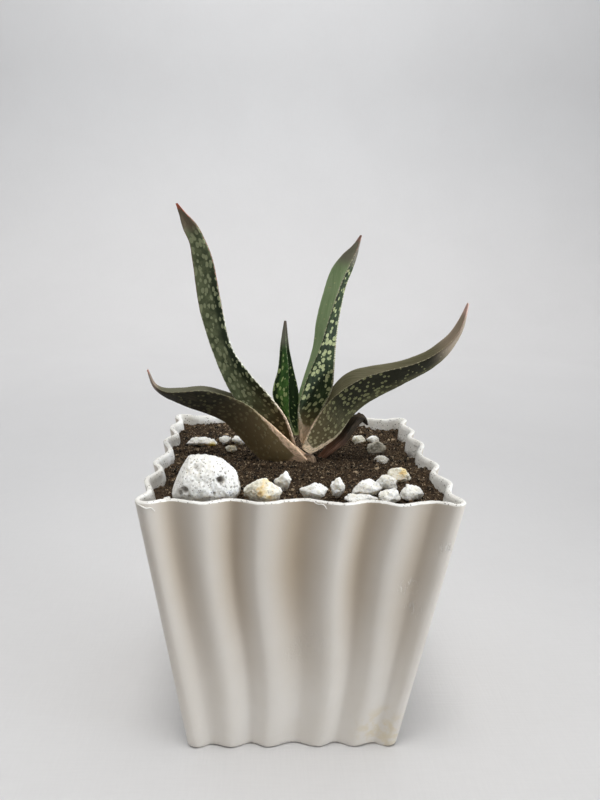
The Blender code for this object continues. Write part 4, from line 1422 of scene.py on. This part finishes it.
def crown_finish():
    mat, tree, shader = finish("crown_sheath", 0.6)
    place = millimetres(tree)
    fibre = cloud(tree, stretched(tree, place, (1.6, 1.6, 0.25)), 1.0, 4.0)
    colour = mixed(tree, fade(tree, fibre, 0.35, 0.65), CROWN_PALE, CROWN_BROWN)
    put_on(tree, shader, colour, None, fibre, 0.3)
    return mat


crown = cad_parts["crown"]
crown.data.materials.clear()
crown.data.materials.append(crown_finish())

# %% [markdown]
# ## Stones
# The grit is crushed white limestone: chips with broken faces and soft edges, one cream chunk, some amber
# ones, and one big pebble as full of holes as a sponge. Each stone's solid already has its own facets.
# Copying it, remeshing it to small even quads and wearing the edges down keeps that character; noise then
# adds chips, dents and hollows. The pebble also gets its flat left flank and its holes. A little light
# travels under the surface of each stone, which keeps its shaded sides soft as they are on chalk.

# %% Stone shaping
CHIP_WAVES = ((0.34, 0.36), (0.24, 0.95), (0.10, 2.4))


def stone_relief(p, offset):
    """Chips of three sizes, then creases, then hollows that bite only where their own noise runs high."""
    height = sum(high * noise.noise(p * size + offset) for high, size in CHIP_WAVES)
    height += 0.42 * (0.25 - abs(noise.noise(p * 0.72 + offset * 0.5)))
    return height - 0.75 * max(0.0, noise.noise(p * 0.62 - offset) - 0.16)


def stone_surface(node, voxel, smoothing, dents, seed):
    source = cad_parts[node]
    work = bpy.data.objects.new(node + "_work", source.data.copy())
    bpy.context.scene.collection.objects.link(work)
    remesh = work.modifiers.new("even_quads", "REMESH")
    remesh.mode = "VOXEL"
    remesh.voxel_size = voxel * MM
    wear = work.modifiers.new("worn_edges", "SMOOTH")
    wear.iterations = smoothing
    wear.factor = 0.5
    shape = with_modifiers(work)
    bpy.data.objects.remove(work)
    offset = Vector((seed * 3.1, seed * 1.7, seed * 0.9))
    points, outs = [], []
    for v in shape.vertices:
        p = v.co / MM
        out = Vector(v.normal)
        points.append(p + out * (stone_relief(p, offset) * dents))
        outs.append(out)
    faces = [tuple(f.vertices) for f in shape.polygons]
    bpy.data.meshes.remove(shape)
    return points, faces, outs


# %% Stone finish
STONE_WHITE = (0.955, 0.935, 0.88)
STONE_DULL = (0.90, 0.87, 0.80)
STONE_TINT = (0.86, 0.77, 0.56)
STONE_AMBER = (0.80, 0.56, 0.20)
STONE_YELLOW = (0.80, 0.62, 0.14)
SPECK_BROWN = (0.20, 0.15, 0.10)
FOOT_BROWN = (0.22, 0.16, 0.11)
HOLLOW_BROWN = (0.16, 0.13, 0.10)


def stone_finish(name, light, dull, tint, tint_amount, speck=0.45, speck_share=0.50, stain_at=None):
    """Speck says how dark the small holes are, and speck_share how many of the cells go without one."""
    mat, tree, shader = finish(name, 0.82)
    place = millimetres(tree)
    broad = cloud(tree, place, 0.22, 5.0, 0.6)
    fine = cloud(tree, place, 1.6, 5.0, 0.7)
    colour = mixed(tree, fade(tree, fine, 0.40, 0.66), light, dull)
    colour = mixed(tree, times(tree, fade(tree, broad, 0.50, 0.62), tint_amount), colour, tint)
    gap, numbers = cells(tree, place, 1.25)
    chosen = fade(tree, numbers[1], speck_share, speck_share + 0.15)
    holes = times(tree, fade(tree, gap, 0.14, 0.32, 1.0, 0.0), chosen)
    colour = mixed(tree, times(tree, holes, speck), colour, SPECK_BROWN)
    if stain_at is not None:
        colour = mixed(tree, spot_at(tree, place, *stain_at), colour, STONE_YELLOW)
    near_soil = fade(tree, height_of(tree, place), 92.6, 95.2, 1.0, 0.0)
    stain = times(tree, near_soil, fade(tree, fine, 0.42, 0.62))
    colour = mixed(tree, times(tree, stain, 0.55), colour, FOOT_BROWN)
    colour = mixed(tree, times(tree, stored_number(tree, "hollow"), 0.85), colour, HOLLOW_BROWN)
    height = minus(tree, fine, times(tree, holes, 1.2))
    put_on(tree, shader, colour, None, height, 0.30)
    shader.inputs["Specular IOR Level"].default_value = 0.3
    glow_within(shader, 0.55, (1.0, 0.95, 0.85), 2.5)
    return mat


# %% Stone materials
bar_low, bar_high = (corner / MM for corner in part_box("stone_back_bar"))
BAR_STAIN = ((bar_high.x - 2.2, bar_low.y + 0.6, bar_low.z + 1.2), 2.6)
white_stone = stone_finish("stone_white_chalk", STONE_WHITE, STONE_DULL, STONE_TINT, 0.30)
cream_stone = stone_finish("stone_cream_crust", (0.90, 0.86, 0.75), (0.80, 0.74, 0.58), STONE_AMBER, 0.75)
grey_stone = stone_finish("stone_grey_flint", (0.34, 0.32, 0.26), (0.18, 0.16, 0.12), (0.60, 0.57, 0.50), 0.6)
bar_stone = stone_finish("stone_white_yellowed", STONE_WHITE, STONE_DULL, STONE_TINT, 0.30,
                         stain_at=BAR_STAIN)
big_stone = stone_finish("stone_pitted_pebble", (0.91, 0.89, 0.84), (0.85, 0.83, 0.77), (0.74, 0.72, 0.68),
                         0.20, speck=0.80, speck_share=0.30)
print("stone finishes:", sum(mat.name.startswith("stone_") for mat in bpy.data.materials))

# %% Stone pieces
STONE_LOOKS = {
    "stone_front_left_chip": (white_stone, "stone_white"),
    "stone_cream_chunk": (cream_stone, "stone_cream"),
    "stone_upright_chip": (white_stone, "stone_white"),
    "stone_front_wedge": (white_stone, "stone_white"),
    "stone_narrow_chip": (white_stone, "stone_white"),
    "stone_front_flat": (white_stone, "stone_white"),
    "stone_long_white": (white_stone, "stone_white"),
    "stone_right_chip": (white_stone, "stone_white"),
    "stone_amber": (cream_stone, "stone_cream"),
    "stone_right_block": (white_stone, "stone_white"),
    "stone_right_front": (white_stone, "stone_white"),
    "stone_back_bar": (bar_stone, "stone_white"),
    "stone_back_bead": (white_stone, "stone_white"),
    "stone_back_chunk": (white_stone, "stone_white"),
    "stone_back_crumb": (cream_stone, "stone_cream"),
    "stone_back_amber": (cream_stone, "stone_cream"),
    "stone_back_white": (white_stone, "stone_white"),
    "stone_back_grey": (grey_stone, "stone_grey"),
    "stone_side_crumb": (white_stone, "stone_white"),
}
STONE_QUAD = 0.22
STONE_SMOOTHING = 2
STONE_DENTS = 1.0
for seed, (node, (mat, slot)) in enumerate(STONE_LOOKS.items(), start=1):
    stone_points, stone_faces, _ = stone_surface(node, STONE_QUAD, STONE_SMOOTHING, STONE_DENTS, seed)
    show(node + "_worn", stone_points, stone_faces, [node], [mat])

# %% The big pitted pebble
PEBBLE_QUAD = 0.28
PEBBLE_SMOOTHING = 4
PEBBLE_DENTS = 0.9
PEBBLE_SEED = 40
FLANK_POINT = Vector((-37.4, -38.0, 100.0))
FLANK_NORMAL = Vector((-0.90, -0.12, 0.42)).normalized()
FLANK_KEEPS = 0.12
BIG_PIT_COUNT = 230
BIG_PITS = (
    # place, radius, depth and how dark the hole is inside
    ((-24.3, -43.5, 101.2), 1.7, 1.9, 1.0),
    ((-35.5, -43.5, 98.0), 1.5, 1.2, 0.7),
    ((-36.6, -42.5, 96.6), 1.1, 0.9, 0.6),
    ((-31.8, -41.0, 104.3), 1.9, 0.3, 0.35),
    ((-22.6, -41.5, 103.6), 0.7, 0.7, 0.8),
    ((-26.4, -44.0, 96.6), 0.7, 0.6, 0.7),
)


def pebble_pits():
    """The holes that stand out, and many small ones scattered over the pebble's upper side."""
    rng = random.Random(31)
    low, high = (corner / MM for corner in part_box("stone_big_white"))
    centre, half = (low + high) / 2.0, (high - low) / 2.0
    pits = [(Vector(place), radius, depth, dark) for place, radius, depth, dark in BIG_PITS]
    for _ in range(BIG_PIT_COUNT):
        way = Vector((rng.gauss(0, 1), rng.gauss(0, 1), rng.gauss(0.3, 1))).normalized()
        place = centre + Vector((way.x * half.x, way.y * half.y, way.z * half.z))
        pits.append((place, rng.uniform(0.25, 0.55), rng.uniform(0.12, 0.45), rng.uniform(0.2, 1.0)))
    return pits


def make_pebble():
    points, faces, outs = stone_surface("stone_big_white", PEBBLE_QUAD, PEBBLE_SMOOTHING, PEBBLE_DENTS,
                                        PEBBLE_SEED)
    for k, p in enumerate(points):
        beyond = (p - FLANK_POINT).dot(FLANK_NORMAL)
        if beyond > 0.0:
            points[k] = p - FLANK_NORMAL * (beyond * (1.0 - FLANK_KEEPS))
    tree = KDTree(len(points))
    for k, p in enumerate(points):
        tree.insert(p, k)
    tree.balance()
    sunk = [0.0] * len(points)
    hollow = [0.0] * len(points)
    for place, radius, depth, dark in pebble_pits():
        heart = tree.find(place)[0]
        for p, k, gap in tree.find_range(heart, radius):
            inside = smoothstep(radius, 0.35 * radius, gap)
            sunk[k] = max(sunk[k], depth * inside)
            hollow[k] = max(hollow[k], dark * inside)
    points = [p - outs[k] * sunk[k] for k, p in enumerate(points)]
    pebble = show("stone_big_white_pitted", points, faces, ["stone_big_white"], [big_stone])
    store_numbers(pebble, "hollow", hollow)


make_pebble()

# %% [markdown]
# ## Floor and backdrop
# The pot stands on a pale cloth that sweeps up behind it. A dish turned round an upright axis gives every
# camera a floor and a wall without an edge. Its axis lies in front of the pot, so the wall behind the plant
# is near and bright, while the wall behind the camera is far off and sends little light back to the pot's
# front. It is a stage, not part of the object.

# %% Stage
SWEEP_CENTRE_Y = -900.0
SWEEP_FLAT = 1650.0
SWEEP_CURVE = 450.0
SWEEP_TOP = 1250.0
SWEEP_SIDES = 128
CLOTH_FLOOR = (0.655, 0.647, 0.645)
CLOTH_WALL = (0.620, 0.621, 0.626)
CLOTH_SHADE = (0.36, 0.35, 0.35)
SWEEP_CURVE_STEPS = 16


def sweep_finish():
    mat, tree, shader = finish("pale_cloth", 0.9)
    place = millimetres(tree)
    threads_across = cloud(tree, stretched(tree, place, (1.2, 0.08, 0.08)), 1.0, 3.0)
    threads_along = cloud(tree, stretched(tree, place, (0.08, 1.2, 1.2)), 1.0, 3.0)
    weave = plus(tree, threads_across, threads_along)
    broad = cloud(tree, place, 0.008, 4.0)
    colour = mixed(tree, fade(tree, height_of(tree, place), 20.0, 420.0), CLOTH_FLOOR, CLOTH_WALL)
    clouded = times(tree, fade(tree, broad, 0.30, 0.70), 0.05)
    woven = times(tree, fade(tree, weave, 0.80, 1.20), 0.035)
    colour = mixed(tree, plus(tree, clouded, woven), colour, CLOTH_SHADE)
    put_on(tree, shader, colour, None, weave, 0.06)
    shader.inputs["Specular IOR Level"].default_value = 0.2
    return mat


def make_stage():
    profile = [(1.0, 0.0), (SWEEP_FLAT * 0.4, 0.0), (SWEEP_FLAT * 0.8, 0.0), (SWEEP_FLAT, 0.0)]
    for k in range(1, SWEEP_CURVE_STEPS + 1):
        a = math.pi / 2.0 * k / SWEEP_CURVE_STEPS
        profile.append((SWEEP_FLAT + SWEEP_CURVE * math.sin(a), SWEEP_CURVE * (1.0 - math.cos(a))))
    profile.append((SWEEP_FLAT + SWEEP_CURVE, SWEEP_TOP))
    points, faces = [], []
    for radius, z in profile:
        for k in range(SWEEP_SIDES):
            a = 2.0 * math.pi * k / SWEEP_SIDES
            points.append((radius * math.cos(a) * MM, (SWEEP_CENTRE_Y + radius * math.sin(a)) * MM, z * MM))
    for row in range(len(profile) - 1):
        faces += band(row * SWEEP_SIDES, (row + 1) * SWEEP_SIDES, SWEEP_SIDES)
    faces.append(tuple(reversed(range(SWEEP_SIDES))))
    mesh = bpy.data.meshes.new("floor_sweep")
    mesh.from_pydata(points, [], faces)
    mesh.shade_smooth()
    mesh.materials.append(sweep_finish())
    floor = bpy.data.objects.new("floor_sweep", mesh)
    bpy.context.scene.collection.objects.link(floor)
    print(floor.name, len(mesh.polygons), "faces")


make_stage()

# %% [markdown]
# ## Light
# The room's light comes mostly from above: the sky is bright overhead, a little wider from side to side,
# and nearly dark lower down, so the floor and the stones glow while the pot's front lies in gentle shade. A
# window far to the right and a little in front sends a narrow, level beam across the pleats: their
# right-hand slopes light up and the others stay dark. Three lamps help: a low glow on the table before the
# pot, a wash on the wall behind the plant, and a narrow lamp overhead.

# %% Lights
SKY_AIM = Vector((0.04, -0.03, 1.0)).normalized()
SKY_DARK = 0.04
SKY_BRIGHT = 1.36
SKY_WIDENED = 0.45
SKY_COLOUR = (0.97, 0.985, 1.0)
PANELS = (
    # name, place, aim, width and height in millimetres, power, colour, spread in degrees
    ("window", (1650.0, -620.0, 300.0), (0.0, 0.0, 300.0), 450.0, 460.0, 0.84, (0.93, 1.0, 1.09), 14.0),
    ("table_glow", (-5.0, -330.0, 14.0), (0.0, -37.0, 2.0), 120.0, 16.0, 0.004, (0.98, 0.985, 1.0), 34.0),
    ("wall_wash", (0.0, -100.0, 1500.0), (0.0, 1200.0, 520.0), 600.0, 300.0, 5.7, (1.0, 1.0, 1.0), 90.0),
    ("overhead", (-60.0, -330.0, 1300.0), (0.0, -40.0, 60.0), 380.0, 380.0, 0.30, (1.0, 0.99, 0.97), 32.0),
)


def add_panel(name, place, aim, width, height, power, colour, spread):
    light = bpy.data.lights.new(name, "AREA")
    light.shape = "RECTANGLE"
    light.size = width * MM
    light.size_y = height * MM
    light.energy = power
    light.color = colour
    light.spread = math.radians(spread)
    lamp = bpy.data.objects.new(name, light)
    lamp.location = Vector(place) * MM
    lamp.rotation_mode = "QUATERNION"
    lamp.rotation_quaternion = (Vector(aim) - Vector(place)).to_track_quat("-Z", "Y")
    lamp.visible_camera = False
    bpy.context.scene.collection.objects.link(lamp)


def add_sky():
    world = bpy.data.worlds.new("sky")
    world.use_nodes = True
    tree = world.node_tree
    way = add_node(tree, "ShaderNodeTexCoord").outputs["Generated"]
    narrowed = stretched(tree, way, (SKY_WIDENED, 1.0, 1.0))
    narrowed = add_node(tree, "ShaderNodeVectorMath", {0: narrowed}, operation="NORMALIZE").outputs[0]
    toward = add_node(tree, "ShaderNodeVectorMath", {0: narrowed, 1: tuple(SKY_AIM)}, operation="DOT_PRODUCT")
    strength = fade(tree, toward.outputs["Value"], 0.60, 1.0, SKY_DARK, SKY_BRIGHT)
    background = tree.nodes["Background"]
    background.inputs["Color"].default_value = rgba(SKY_COLOUR)
    tree.links.new(strength, background.inputs["Strength"])
    bpy.context.scene.world = world


add_sky()
for panel in PANELS:
    add_panel(*panel)
bpy.context.scene.view_settings.view_transform = "Standard"
